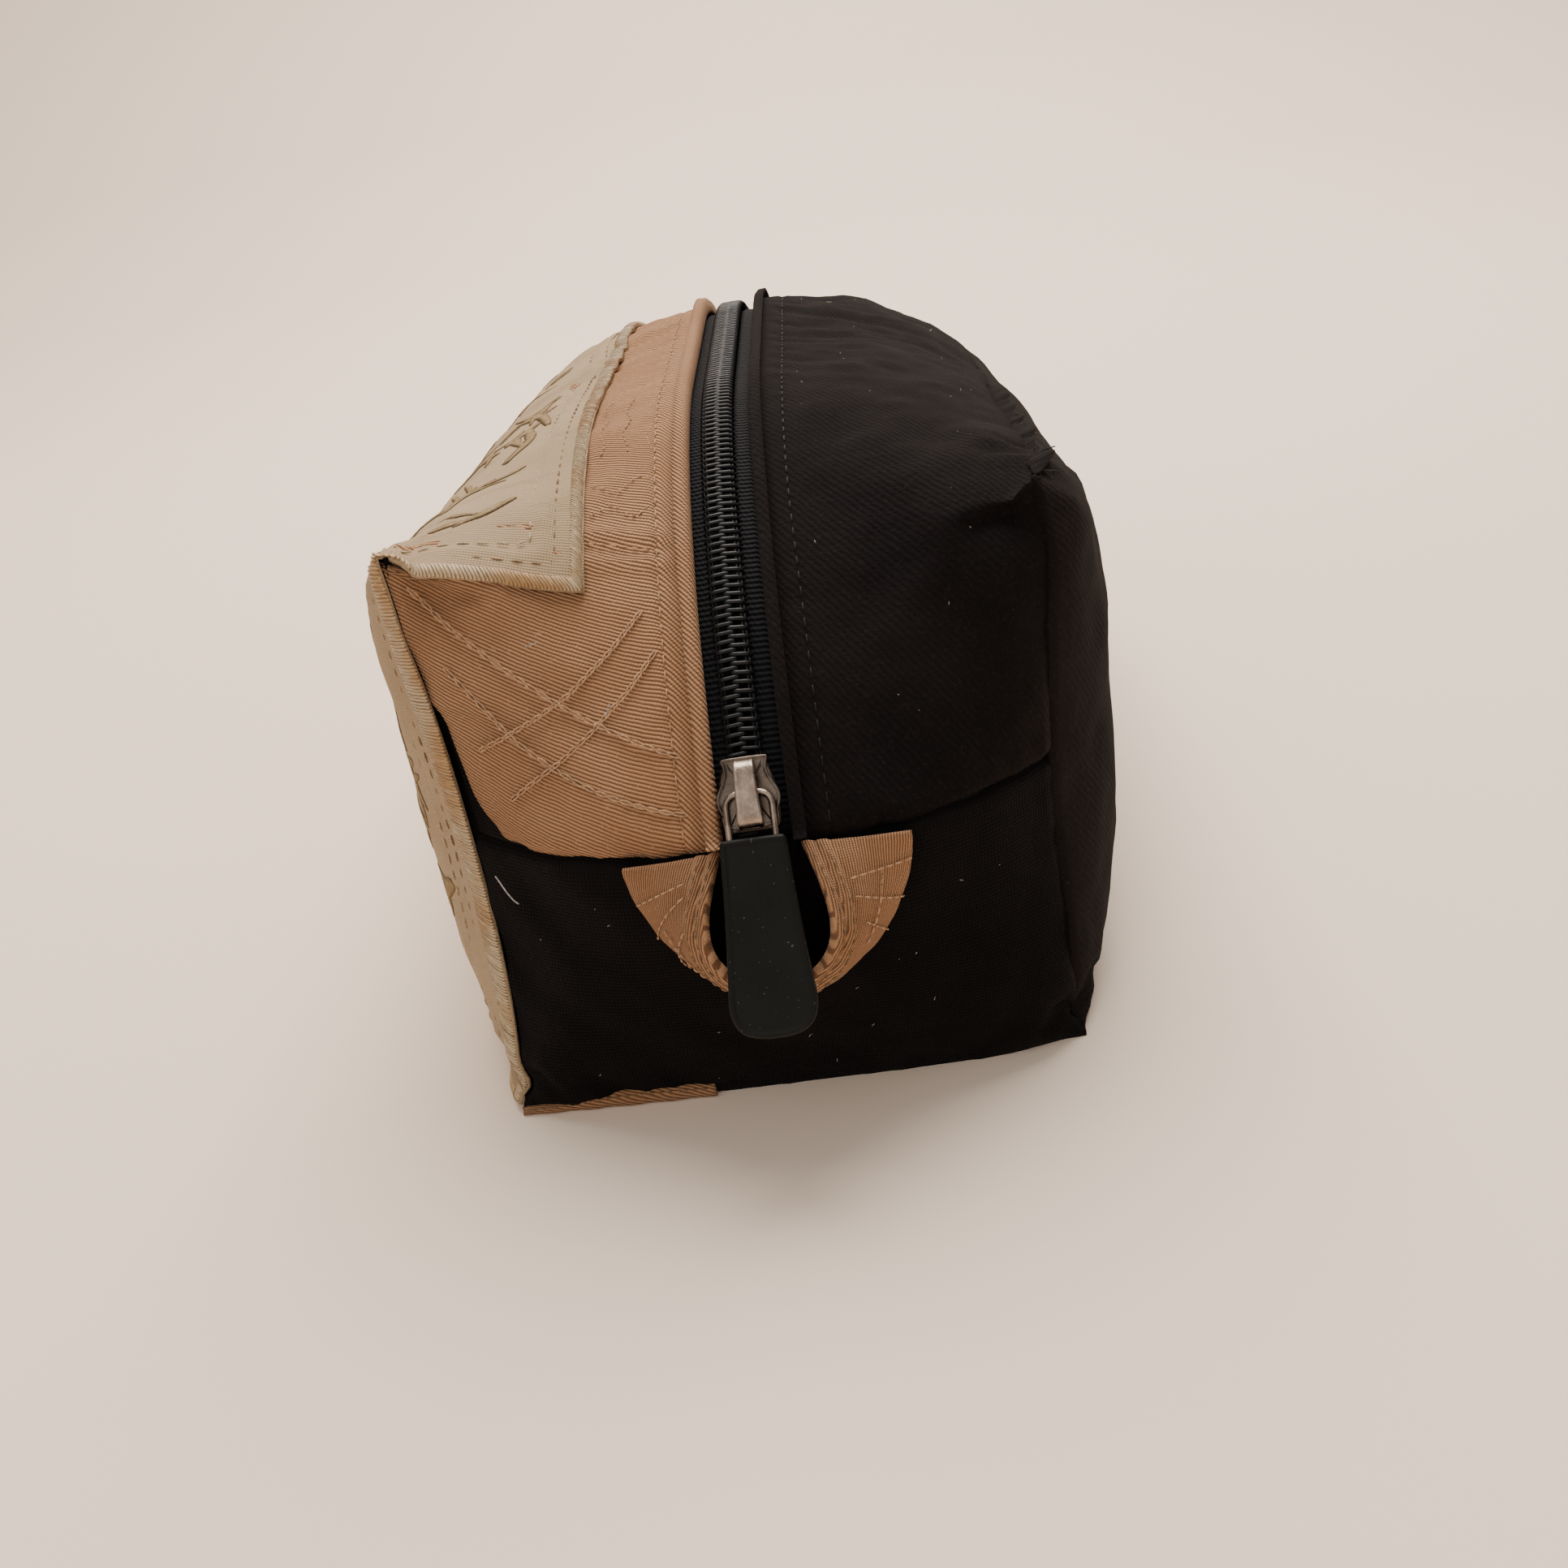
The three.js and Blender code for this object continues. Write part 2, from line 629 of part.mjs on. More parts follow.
// Moulded over the far bar of the ring; the bar lies in a groove open at the back of the tab.
function pullTab() {
  const headHalf = tabHeadWidth / 2;
  const footHalf = tabFootWidth / 2;
  const head = ringFront + tabOverRing;
  const foot = head - tabLength;
  const roundFrom = foot + 6;
  const tabBottom = barHeight - wire / 2;
  const shape = new THREE.Shape();
  shape.moveTo(-headHalf + 0.8, head);
  shape.quadraticCurveTo(-headHalf, head, -headHalf, head - 0.8);
  shape.lineTo(-footHalf, roundFrom);
  shape.quadraticCurveTo(-footHalf * 0.96, foot + 0.6, -footHalf * 0.35, foot);
  shape.quadraticCurveTo(0, foot - 0.3, footHalf * 0.35, foot);
  shape.quadraticCurveTo(footHalf * 0.96, foot + 0.6, footHalf, roundFrom);
  shape.lineTo(headHalf, head - 0.8);
  shape.quadraticCurveTo(headHalf, head, headHalf - 0.8, head);
  shape.closePath();
  const groove = roundedRectangle(
    new THREE.Shape(), ringWidth / 2 + gap, ringFront - gap, head + 4, 1.5);
  const body = toSolid(plate(shape, tabBottom, tabBottom + tabThickness, 0.4));
  return fromSolid(body.subtract(toSolid(plate(groove, tabBottom - 1, tabBottom + wire + gap, 0))));
}

const sliderPlace = zipPoint(sliderAlong, 0);
const ontoCover = new THREE.Matrix4()
  .makeTranslation(0, sliderPlace.y, sliderPlace.z)
  .multiply(new THREE.Matrix4().makeRotationX(sliderTilt));

function addOnZip(name, geometry, slot) {
  geometry.applyMatrix4(ontoCover);
  addPiece(name, geometry, slot);
}

addOnZip('slider_body', sliderBody(), 'darkNickel');
addOnZip('slider_cap', sliderCap(), 'darkNickel');
addOnZip('lock_pin', block(
  pinWidth / 2, pinY - pinLength / 2, pinY + pinLength / 2, coilTop - 0.6, barHeight - wire / 2), 'darkNickel');
addOnZip('pull_ring', pullRing(), 'darkNickel');
addOnZip('pull_tab', pullTab(), 'blackRubber');

// ---------- Grab tab: a band that leaves the seam twice and turns like a U in between ----------
function grabEdges(share) {
  const turn = Math.PI * share;
  const start = seamHeight - 1;
  const dip = Math.sin(turn);
  const wallX = grabOffset - grabOuterHalf * Math.cos(turn);
  const wallZ = start - grabDrop * dip;
  const lipX = grabOffset * 0.5 - grabInnerHalf * Math.cos(turn);
  const lipZ = start - (grabDrop - grabLipRise) * dip;
  const wallEdge = new THREE.Vector3(wallX, -halfLength - gap, wallZ);
  const lipEdge = new THREE.Vector3(lipX, -halfLength - gap - grabLipReach * dip, lipZ);
  return { wallEdge, lipEdge };
}

function grabTab() {
  const positions = [];
  const triangles = [];
  const smallTurn = 0.01;
  for (let station = 0; station <= grabStations; station += 1) {
    const share = station / grabStations;
    const { wallEdge, lipEdge } = grabEdges(share);
    const before = grabEdges(Math.max(share - smallTurn, 0));
    const after = grabEdges(Math.min(share + smallTurn, 1));
    const across = lipEdge.clone().sub(wallEdge);
    const forward = after.wallEdge.clone().add(after.lipEdge).sub(before.wallEdge).sub(before.lipEdge);
    const faceOut = forward.cross(across).normalize().multiplyScalar(grabThickness);
    const outerWall = wallEdge.clone().add(faceOut);
    const outerLip = lipEdge.clone().add(faceOut);
    for (const corner of [wallEdge, lipEdge, outerLip, outerWall]) {
      positions.push(...corner.toArray());
    }
  }
  for (let station = 0; station < grabStations; station += 1) {
    for (let corner = 0; corner < 4; corner += 1) {
      const a = station * 4 + corner;
      const b = station * 4 + ((corner + 1) % 4);
      triangles.push(a, b, b + 4, a, b + 4, a + 4);
    }
  }
  const last = grabStations * 4;
  triangles.push(0, 2, 1, 0, 3, 2, last, last + 1, last + 2, last, last + 2, last + 3);
  const geometry = new THREE.BufferGeometry();
  geometry.setAttribute('position', new THREE.Float32BufferAttribute(positions, 3));
  geometry.setIndex(triangles);
  geometry.computeVertexNormals();
  return geometry;
}

addPiece('grab_tab', grabTab(), 'khakiTwill');

// ---------- Stand the whole pouch on z = 0 with its bounding box centred ----------
const overall = new THREE.Box3().setFromObject(bag);
const centre = overall.getCenter(new THREE.Vector3());
for (const mesh of bag.children) {
  mesh.geometry.translate(-centre.x, -centre.y, -overall.min.z);
}

export default bag;
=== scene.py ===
"""A boxy zipped patchwork pouch: its looks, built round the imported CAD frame.

Shapes are worked out in millimetres in the pouch's own frame (front seam at -Y, base at z = 0, zip on x = 0)
and turned into metres in the row frame when a mesh is made.
"""

import math

import bmesh
import bpy
import numpy as np
from mathutils import Matrix, Vector


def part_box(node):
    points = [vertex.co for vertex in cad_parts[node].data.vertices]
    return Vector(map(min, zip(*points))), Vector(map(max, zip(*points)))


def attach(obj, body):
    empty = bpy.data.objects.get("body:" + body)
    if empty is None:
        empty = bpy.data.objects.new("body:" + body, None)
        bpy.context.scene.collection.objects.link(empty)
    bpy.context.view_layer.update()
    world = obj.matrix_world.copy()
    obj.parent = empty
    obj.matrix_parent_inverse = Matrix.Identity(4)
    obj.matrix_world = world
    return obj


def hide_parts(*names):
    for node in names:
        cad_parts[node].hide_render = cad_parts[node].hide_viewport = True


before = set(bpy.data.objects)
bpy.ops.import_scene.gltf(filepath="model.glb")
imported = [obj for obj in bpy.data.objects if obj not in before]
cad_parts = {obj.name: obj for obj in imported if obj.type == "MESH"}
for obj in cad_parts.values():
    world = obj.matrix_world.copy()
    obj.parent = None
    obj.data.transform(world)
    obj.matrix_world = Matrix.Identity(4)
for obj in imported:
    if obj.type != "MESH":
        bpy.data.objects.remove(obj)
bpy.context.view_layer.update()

# ---------------------------------------------------------------- sizes of the pouch, millimetres
LENGTH, WIDTH, HEIGHT = 250.0, 116.0, 112.0
ARC_RADIUS = 110.0
ARC_TURN = math.radians(60)
CREASE_TURN = math.radians(35)
PEAK_INSET, PEAK_DROP, BACK_PEAK_DROP = 27.0, 4.0, 21.0
FOOT_INSET, FOOT_CORNER_INSET = 5.0, 6.0
FOOT_WIDTH = 111.0
SIDE_BULGE = 14.0         # two more than the plain shape: the soft cloth stands a little proud
EDGE_PULL = 3.5           # the upright corner edges bow in at half height
FOLLOW = 16.0
CROWN = 1.5
OPENING = 6.3
PATCH_EDGE = 25.0
BORDER = 2.8
SLIDER_ALONG = 8.6
BAR_RISE = 3.75

HALF_LENGTH, HALF_WIDTH = LENGTH / 2, WIDTH / 2
SEAM_Z = HEIGHT - ARC_RADIUS * (1 - math.cos(ARC_TURN))
FLAT_HALF = HALF_LENGTH - ARC_RADIUS * math.sin(ARC_TURN)
ARC_LENGTH = ARC_RADIUS * ARC_TURN
ZIP_LENGTH = 2 * ARC_LENGTH + 2 * FLAT_HALF
PEAK_Z = HEIGHT - PEAK_DROP
PEAK_Y = HALF_LENGTH - PEAK_INSET
FOOT_Y = HALF_LENGTH - FOOT_CORNER_INSET
CREASE_ALONG = (ARC_TURN - CREASE_TURN) * ARC_RADIUS

MM = 0.001
left_low, left_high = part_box("side_panel_left")
right_low, right_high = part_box("side_panel_right")
ORIGIN = Vector(((left_low[0] + right_high[0]) / 2, (left_low[1] + left_high[1]) / 2, 0.0))

TWILL_ANGLE, TWILL_PITCH = 72.0, 0.00072      # on the flat cloth: degrees, metres
HEM_TWILL_ANGLE = 40.0
SATIN_PITCH = 0.62                             # millimetres from thread to thread


# ---------------------------------------------------------------- shape of the filled pouch
def zip_point(along, rise=0.0):
    """(y, z) on the zip line: `along` mm from the front seam, `rise` mm outside the cover."""
    along = np.asarray(along, float)
    from_end = np.where(along > ZIP_LENGTH / 2, ZIP_LENGTH - along, along)
    radius = ARC_RADIUS + rise
    turn = ARC_TURN - from_end / ARC_RADIUS
    on_arc = from_end < ARC_LENGTH
    y = np.where(on_arc, -FLAT_HALF - radius * np.sin(turn), -FLAT_HALF + (from_end - ARC_LENGTH))
    z = np.where(on_arc, HEIGHT - ARC_RADIUS + radius * np.cos(turn), HEIGHT + rise)
    return np.where(along > ZIP_LENGTH / 2, -y, y), z


def zip_tilt(along):
    """Slope of the zip line, radians: positive where it climbs towards the back."""
    along = np.asarray(along, float)
    front = np.clip(ARC_TURN - along / ARC_RADIUS, 0, None)
    back = np.clip(ARC_TURN - (ZIP_LENGTH - along) / ARC_RADIUS, 0, None)
    return front - back


def mix(a, b, t):
    return a + (b - a) * t


def corner_blend(x):
    return np.clip((np.abs(x) - FOLLOW) / (HALF_WIDTH - FOLLOW), 0, None) ** CROWN


def edge_half(z):
    upright = z / PEAK_Z
    return mix(FOOT_WIDTH / 2, HALF_WIDTH, upright) - EDGE_PULL * 4 * upright * (1 - upright)


def edge_y(z):
    return mix(FOOT_Y, PEAK_Y, z / PEAK_Z)


def leaned(z, fraction):
    """Heights above the seams lean down towards the slumped back corners."""
    ridge = mix(PEAK_Z, HEIGHT - BACK_PEAK_DROP, fraction)
    return np.where(z <= SEAM_Z, z, mix(SEAM_Z, ridge, (z - SEAM_Z) / (PEAK_Z - SEAM_Z)))


def cover_point(x, along, ridge_y, ridge_z, ridge_half):
    y, z = zip_point(along)
    blend = corner_blend(x)
    narrowing = mix(1, ridge_half / HALF_WIDTH, blend)
    return np.stack(np.broadcast_arrays(x * narrowing, mix(y, ridge_y, blend), mix(z, ridge_z, blend)), -1)


def end_point(x, z, end):
    blend = corner_blend(x)
    upright = z / SEAM_Z
    middle = mix(HALF_LENGTH - FOOT_INSET, HALF_LENGTH, upright * (2 - upright))
    narrowing = mix(1, edge_half(z) / HALF_WIDTH, blend)
    return np.stack(np.broadcast_arrays(x * narrowing, end * mix(middle, edge_y(z), blend), z), -1)


def side_point(fraction, z, side):
    lengthways = np.sqrt(1 - np.abs(2 * fraction - 1) ** 3)
    swell = SIDE_BULGE * lengthways * (1 - np.abs(2 * z / PEAK_Z - 1) ** 2.5) ** 0.7
    y = mix(-edge_y(z), edge_y(z), fraction)
    return np.stack(np.broadcast_arrays(side * (edge_half(z) + swell), y, leaned(z, fraction)), -1)


CELL = 3.0


def stops(start, end, cell=CELL):
    return np.linspace(start, end, max(2, round((end - start) / cell) + 1))


def joined_stops(*marks):
    parts = [stops(a, b) for a, b in zip(marks, marks[1:])]
    return np.concatenate([parts[0]] + [part[1:] for part in parts[1:]])


CROSS = joined_stops(-HALF_WIDTH, -PATCH_EDGE, -OPENING, 0.0, OPENING, PATCH_EDGE, HALF_WIDTH)
LOW_Z = stops(0, SEAM_Z)
HIGH_Z = stops(SEAM_Z, PEAK_Z)
WALL_Z = np.concatenate([LOW_Z, HIGH_Z[1:]])
RIDGE_Y = stops(-PEAK_Y, PEAK_Y)
FRACTION = (RIDGE_Y + PEAK_Y) / (2 * PEAK_Y)
TOP_ALONG = mix(CREASE_ALONG, ZIP_LENGTH - CREASE_ALONG, FRACTION)
FLAP_ROWS = len(HIGH_Z)


def cover_grid():
    """Rows from the front seam over the top to the back seam, columns from left to right."""
    flap_along = CREASE_ALONG * (HIGH_Z - SEAM_Z) / (PEAK_Z - SEAM_Z)
    flap = list(zip(flap_along, HIGH_Z))[:-1]
    rows = [(along, -edge_y(z), z, edge_half(z)) for along, z in flap]
    for along, y, fraction in zip(TOP_ALONG, RIDGE_Y, FRACTION):
        rows.append((along, y, leaned(PEAK_Z, fraction), HALF_WIDTH))
    for along, z in reversed(flap):
        rows.append((ZIP_LENGTH - along, edge_y(z), leaned(z, 1), edge_half(z)))
    points = np.array([cover_point(CROSS, *row) for row in rows])
    return points, np.array([row[0] for row in rows])


COVER, COVER_ALONG = cover_grid()
walls = {
    "cover": COVER,
    "left": np.array([side_point(FRACTION, z, -1) for z in WALL_Z]),
    "right": np.array([side_point(FRACTION, z, 1) for z in WALL_Z]),
    "front": np.array([end_point(CROSS, z, -1) for z in LOW_Z]),
    "back": np.array([end_point(CROSS, z, 1) for z in LOW_Z]),
}
walls["base"] = np.array([
    np.stack([walls["front"][0][:, 0], mix(walls["front"][0][:, 1], walls["back"][0][:, 1], f),
              np.zeros(len(CROSS))], -1) for f in FRACTION])


# ---------------------------------------------------------------- the filled cloth, relaxed by simulation
def grid_faces(rows, columns, offset=0, flip=False):
    index = offset + np.arange(rows * columns).reshape(rows, columns)
    quads = np.stack([index[:-1, :-1], index[1:, :-1], index[1:, 1:], index[:-1, 1:]], -1).reshape(-1, 4)
    return quads[:, ::-1] if flip else quads


def faces_inward(points):
    """True if a grid's own winding points into the pouch."""
    middle = points[points.shape[0] // 2, points.shape[1] // 2]
    down = points[points.shape[0] // 2 + 1, points.shape[1] // 2] - middle
    across = points[points.shape[0] // 2, points.shape[1] // 2 + 1] - middle
    return np.dot(np.cross(down, across), middle - np.array([0, 0, HEIGHT / 2])) < 0


def closed_pouch():
    """One closed mesh over all the walls, and where each wall's points went in it."""
    places, faces, wall_index = [], [], {}
    for name, grid in walls.items():
        rows, columns = grid.shape[:2]
        faces.append(grid_faces(rows, columns, len(places), faces_inward(grid)))
        places.extend(grid.reshape(-1, 3))
        wall_index[name] = (rows, columns)
    places = np.array(places)
    keys, merged = np.unique(np.round(places, 2), axis=0, return_inverse=True)
    merged = merged.reshape(-1)
    return keys, merged[np.concatenate(faces)], merged, wall_index


PRESSURE = 3.2
SIM_FRAMES = 16
SIM_SCALE = 10.0          # the cloth solver is steadier on a larger model
MOST_MOVE = 4.5           # mm a point may leave the plain shape


def relax_walls():
    """Blow the closed pouch up a little as cloth, then read every wall back from it."""
    points, faces, merged, wall_index = closed_pouch()
    mesh = bpy.data.meshes.new("relaxing")
    mesh.from_pydata((points * MM * SIM_SCALE).tolist(), [], faces.tolist())
    mesh.update()
    blank = bpy.data.objects.new("relaxing", mesh)
    bpy.context.scene.collection.objects.link(blank)
    pinned = blank.vertex_groups.new(name="pinned")
    near_zip = (np.abs(points[:, 0]) < FOLLOW * 0.7) & (points[:, 2] > SEAM_Z - 0.5)
    on_base = points[:, 2] < 0.01
    peak = (np.abs(np.abs(points[:, 0]) - HALF_WIDTH) < 0.1) & (points[:, 2] > PEAK_Z - 0.1)
    end_peak = peak & (np.abs(np.abs(points[:, 1]) - PEAK_Y) < 0.1)
    weight = np.where(near_zip | on_base | end_peak, 1.0, 0.0)
    for index in np.nonzero(weight)[0]:
        pinned.add([int(index)], float(weight[index]), "REPLACE")
    cloth = blank.modifiers.new("cloth", "CLOTH")
    settings = cloth.settings
    settings.quality = 6
    settings.mass = 0.4
    settings.tension_stiffness = 25
    settings.compression_stiffness = 25
    settings.shear_stiffness = 6
    settings.bending_stiffness = 1.2
    settings.shrink_min = -0.012
    settings.use_pressure = True
    settings.uniform_pressure_force = PRESSURE
    settings.vertex_group_mass = "pinned"
    settings.effector_weights.gravity = 0
    settings.air_damping = 3
    cloth.collision_settings.use_self_collision = False
    cloth.point_cache.frame_start = 1
    cloth.point_cache.frame_end = SIM_FRAMES
    scene = bpy.context.scene
    for number in range(1, SIM_FRAMES + 1):
        scene.frame_set(number)
    evaluated = blank.evaluated_get(bpy.context.evaluated_depsgraph_get())
    moved = np.empty(len(points) * 3)
    evaluated.data.vertices.foreach_get("co", moved)
    moved = moved.reshape(-1, 3) / (MM * SIM_SCALE)
    bpy.data.objects.remove(blank)
    bpy.data.meshes.remove(mesh)
    scene.frame_set(1)
    shift = moved - points
    far = np.linalg.norm(shift, axis=1, keepdims=True)
    shift *= np.minimum(1, MOST_MOVE / np.maximum(far, 1e-6))
    settled = points + shift
    start = 0
    for name, (rows, columns) in wall_index.items():
        walls[name] = settled[merged[start:start + rows * columns]].reshape(rows, columns, 3)
        start += rows * columns


# Each has the place of a corner, how far round it the cloth gives, and where it sags, millimetres.
SOFT_PEAKS = (
    ((HALF_WIDTH, -PEAK_Y, PEAK_Z), 13.0, (-2.6, 1.5, -3.4)),
    ((HALF_WIDTH, PEAK_Y, HEIGHT - BACK_PEAK_DROP), 24.0, (-5.5, -4.0, -3.0)),
    ((-HALF_WIDTH, PEAK_Y, HEIGHT - BACK_PEAK_DROP), 24.0, (5.5, -4.0, -3.0)),
    ((FOOT_WIDTH / 2, -FOOT_Y, 0.0), 12.0, (-1.0, 2.5, 0.0)),
)


def soften_peaks():
    for corner, reach, sag in SOFT_PEAKS:
        for name, grid in walls.items():
            distance = np.linalg.norm(grid - np.array(corner), axis=-1, keepdims=True)
            walls[name] = grid + np.exp(-(distance / reach) ** 2) * np.array(sag)


relax_walls()
soften_peaks()


# ---------------------------------------------------------------- reading a wall between its grid points
def cubic_weights(t):
    """Catmull-Rom weights of the four points round a place t of the way from the second to the third."""
    return np.stack([
        -0.5 * t + t * t - 0.5 * t ** 3,
        1 - 2.5 * t * t + 1.5 * t ** 3,
        0.5 * t + 2 * t * t - 1.5 * t ** 3,
        -0.5 * t * t + 0.5 * t ** 3], -1)


def read_axis(values, places):
    """values along axis 0, read at fractional places."""
    count = len(values)
    padded = np.concatenate([2 * values[:1] - values[1:2], values, 2 * values[-1:] - values[-2:-1]])
    low = np.clip(np.floor(places).astype(int), 0, count - 2)
    weights = cubic_weights(places - low)
    picked = np.stack([padded[low + k] for k in range(4)], 0)
    return sum(weights[:, k].reshape(-1, *[1] * (values.ndim - 1)) * picked[k] for k in range(4))


def read_wall(name, rows, columns):
    """Points and outward normals at fractional rows by fractional columns."""
    grid = walls[name]
    points = read_axis(grid, rows)
    points = np.swapaxes(read_axis(np.swapaxes(points, 0, 1), columns), 0, 1)
    down = np.gradient(points, axis=0)
    across = np.gradient(points, axis=1)
    normals = np.cross(down, across)
    normals /= np.maximum(np.linalg.norm(normals, axis=2, keepdims=True), 1e-9)
    if faces_inward(grid):
        normals = -normals
    return points, normals


def row_of(marks, values):
    return np.interp(values, marks, np.arange(len(marks)))


# ---------------------------------------------------------------- making meshes
def new_piece(name, points, faces, body="pouch", cloth=None, smooth=True):
    """Mesh object from millimetre points; `cloth` is each point's place on its flat cloth, in millimetres."""
    mesh = bpy.data.meshes.new(name)
    placed = np.asarray(points, float).reshape(-1, 3) * MM + np.array(ORIGIN)
    mesh.from_pydata(placed.tolist(), [], [list(map(int, face)) for face in faces])
    mesh.validate()
    mesh.update()
    if smooth:
        mesh.polygons.foreach_set("use_smooth", [True] * len(mesh.polygons))
    if cloth is not None:
        attribute = mesh.attributes.new("cloth", "FLOAT_VECTOR", "POINT")
        flat = np.zeros((len(mesh.vertices), 3))
        flat[:, :2] = np.asarray(cloth, float).reshape(-1, 2)[:len(flat)] * MM
        attribute.data.foreach_set("vector", flat.reshape(-1))
    piece = bpy.data.objects.new(name, mesh)
    bpy.context.scene.collection.objects.link(piece)
    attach(piece, body)
    return piece


def shell(name, outer, inner, cloth, body="pouch", flip=False):
    """Closed sheet between an outer and an inner grid of points."""
    rows, columns = outer.shape[:2]
    count = rows * columns
    faces = list(grid_faces(rows, columns, 0, flip)) + list(grid_faces(rows, columns, count, not flip))
    rim = [(0, c) for c in range(columns - 1)] + [(r, columns - 1) for r in range(rows - 1)]
    rim += [(rows - 1, c) for c in range(columns - 1, 0, -1)] + [(r, 0) for r in range(rows - 1, 0, -1)]
    for (row, column), (next_row, next_column) in zip(rim, rim[1:] + rim[:1]):
        a = row * columns + column
        b = next_row * columns + next_column
        side = (a, b, b + count, a + count)
        faces.append(side if not flip else side[::-1])
    flat = np.concatenate([cloth.reshape(-1, 2), cloth.reshape(-1, 2)])
    return new_piece(name, np.concatenate([outer.reshape(-1, 3), inner.reshape(-1, 3)]), faces, body, flat)


def shift_columns(grid, columns, shifted):
    """Read each row of a grid again at its own shifted places, from the first column to the fold."""
    fold = int(np.argmax(columns)) + 1
    moved = grid.copy()
    for row, places in enumerate(shifted):
        for axis in range(3):
            moved[row, :fold, axis] = np.interp(places[:fold], columns[:fold], grid[row, :fold, axis])
    return moved


def panel(name, wall, rows, columns, rise, thickness, cloth_rows, cloth_columns, nodes, shifted=None):
    """Cloth panel read from a wall. `rise` lifts each point off the wall, in millimetres.

    `shifted` gives each row its own places across the wall, in the units of `cloth_columns`.
    """
    points, normals = read_wall(wall, rows, columns)
    if shifted is not None:
        points = shift_columns(points, cloth_columns, shifted)
        normals = shift_columns(normals, cloth_columns, shifted)
    outer = points + normals * np.asarray(rise)[..., None]
    inner = points + normals * (np.asarray(rise) - thickness)[..., None]
    flat = np.stack(np.meshgrid(cloth_columns, cloth_rows), -1)
    piece = shell(name, outer, inner, flat, flip=faces_inward(walls[wall]))
    if nodes:
        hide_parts(*nodes)
    return piece


# ---------------------------------------------------------------- materials
class Finish:
    """A material built from nodes, with short calls for the steps the finishes share."""

    def __init__(self, name, roughness, metallic=0.0, sheen=0.0, coat=0.0, specular=0.5):
        self.material = bpy.data.materials.new(name)
        self.material.use_nodes = True
        self.tree = self.material.node_tree
        self.shader = self.tree.nodes["Principled BSDF"]
        self.shader.inputs["Roughness"].default_value = roughness
        self.shader.inputs["Metallic"].default_value = metallic
        self.shader.inputs["Sheen Weight"].default_value = sheen
        self.shader.inputs["Sheen Roughness"].default_value = 0.5
        self.shader.inputs["Coat Weight"].default_value = coat
        self.shader.inputs["Specular IOR Level"].default_value = specular
        flat = self.tree.nodes.new("ShaderNodeAttribute")
        flat.attribute_name = "cloth"
        self.flat = flat.outputs["Vector"]
        place = self.tree.nodes.new("ShaderNodeTexCoord")
        self.place = place.outputs["Object"]

    def link(self, value, socket):
        if hasattr(value, "is_output"):
            self.tree.links.new(value, socket)
        else:
            socket.default_value = value

    def math(self, kind, a, b=0.0, clamp=False):
        node = self.tree.nodes.new("ShaderNodeMath")
        node.operation = kind
        node.use_clamp = clamp
        self.link(a, node.inputs[0])
        self.link(b, node.inputs[1])
        return node.outputs[0]

    def along(self, direction, vector=None):
        """Distance along a direction on the flat cloth, in metres."""
        node = self.tree.nodes.new("ShaderNodeVectorMath")
        node.operation = "DOT_PRODUCT"
        self.link(self.flat if vector is None else vector, node.inputs[0])
        node.inputs[1].default_value = direction
        return node.outputs["Value"]

    def wave(self, angle, pitch, warp=None, vector=None):
        """Ridges 0..1 across the cloth, `pitch` metres apart, crossing at `angle` degrees."""
        turn = math.radians(angle)
        distance = self.along((math.cos(turn), math.sin(turn), 0), vector)
        if warp is not None:
            distance = self.math("ADD", distance, warp)
        phase = self.math("MULTIPLY", distance, 2 * math.pi / pitch)
        return self.half(self.math("SINE", phase))

    def half(self, value):
        return self.math("ADD", self.math("MULTIPLY", value, 0.5), 0.5)

    def noise(self, size, detail=3.0, vector=None, roughness=0.5, stretch=(1, 1, 1)):
        """Noise 0..1 with features about `size` metres across."""
        mapping = self.tree.nodes.new("ShaderNodeMapping")
        self.link(self.place if vector is None else vector, mapping.inputs["Vector"])
        mapping.inputs["Scale"].default_value = stretch
        node = self.tree.nodes.new("ShaderNodeTexNoise")
        self.tree.links.new(mapping.outputs[0], node.inputs["Vector"])
        node.inputs["Scale"].default_value = 1 / size
        node.inputs["Detail"].default_value = detail
        node.inputs["Roughness"].default_value = roughness
        return node.outputs["Fac"]

    def step(self, value, low, high, out_low=0.0, out_high=1.0):
        node = self.tree.nodes.new("ShaderNodeMapRange")
        node.interpolation_type = "SMOOTHSTEP"
        self.link(value, node.inputs["Value"])
        for name, number in (("From Min", low), ("From Max", high),
                             ("To Min", out_low), ("To Max", out_high)):
            node.inputs[name].default_value = number
        return node.outputs["Result"]

    def blend(self, share, a, b):
        node = self.tree.nodes.new("ShaderNodeMix")
        node.data_type = "RGBA"
        self.link(share, node.inputs["Factor"])
        self.link(a if hasattr(a, "is_output") else (*a, 1.0), node.inputs[6])
        self.link(b if hasattr(b, "is_output") else (*b, 1.0), node.inputs[7])
        return node.outputs[2]

    def colour(self, value):
        self.link(value if hasattr(value, "is_output") else (*value, 1.0), self.shader.inputs["Base Color"])

    def rough(self, value):
        self.link(value, self.shader.inputs["Roughness"])

    def bump(self, height, distance, strength=1.0):
        node = self.tree.nodes.new("ShaderNodeBump")
        node.inputs["Strength"].default_value = strength
        node.inputs["Distance"].default_value = distance
        self.link(height, node.inputs["Height"])
        self.tree.links.new(node.outputs[0], self.shader.inputs["Normal"])


def linear(red, green, blue):
    """Scene colour of a screen colour given 0..255."""
    return tuple(((c / 255 + 0.055) / 1.055) ** 2.4 if c > 10 else c / 255 / 12.92
                 for c in (red, green, blue))


def darker(shade, share):
    return tuple(c * share for c in shade)


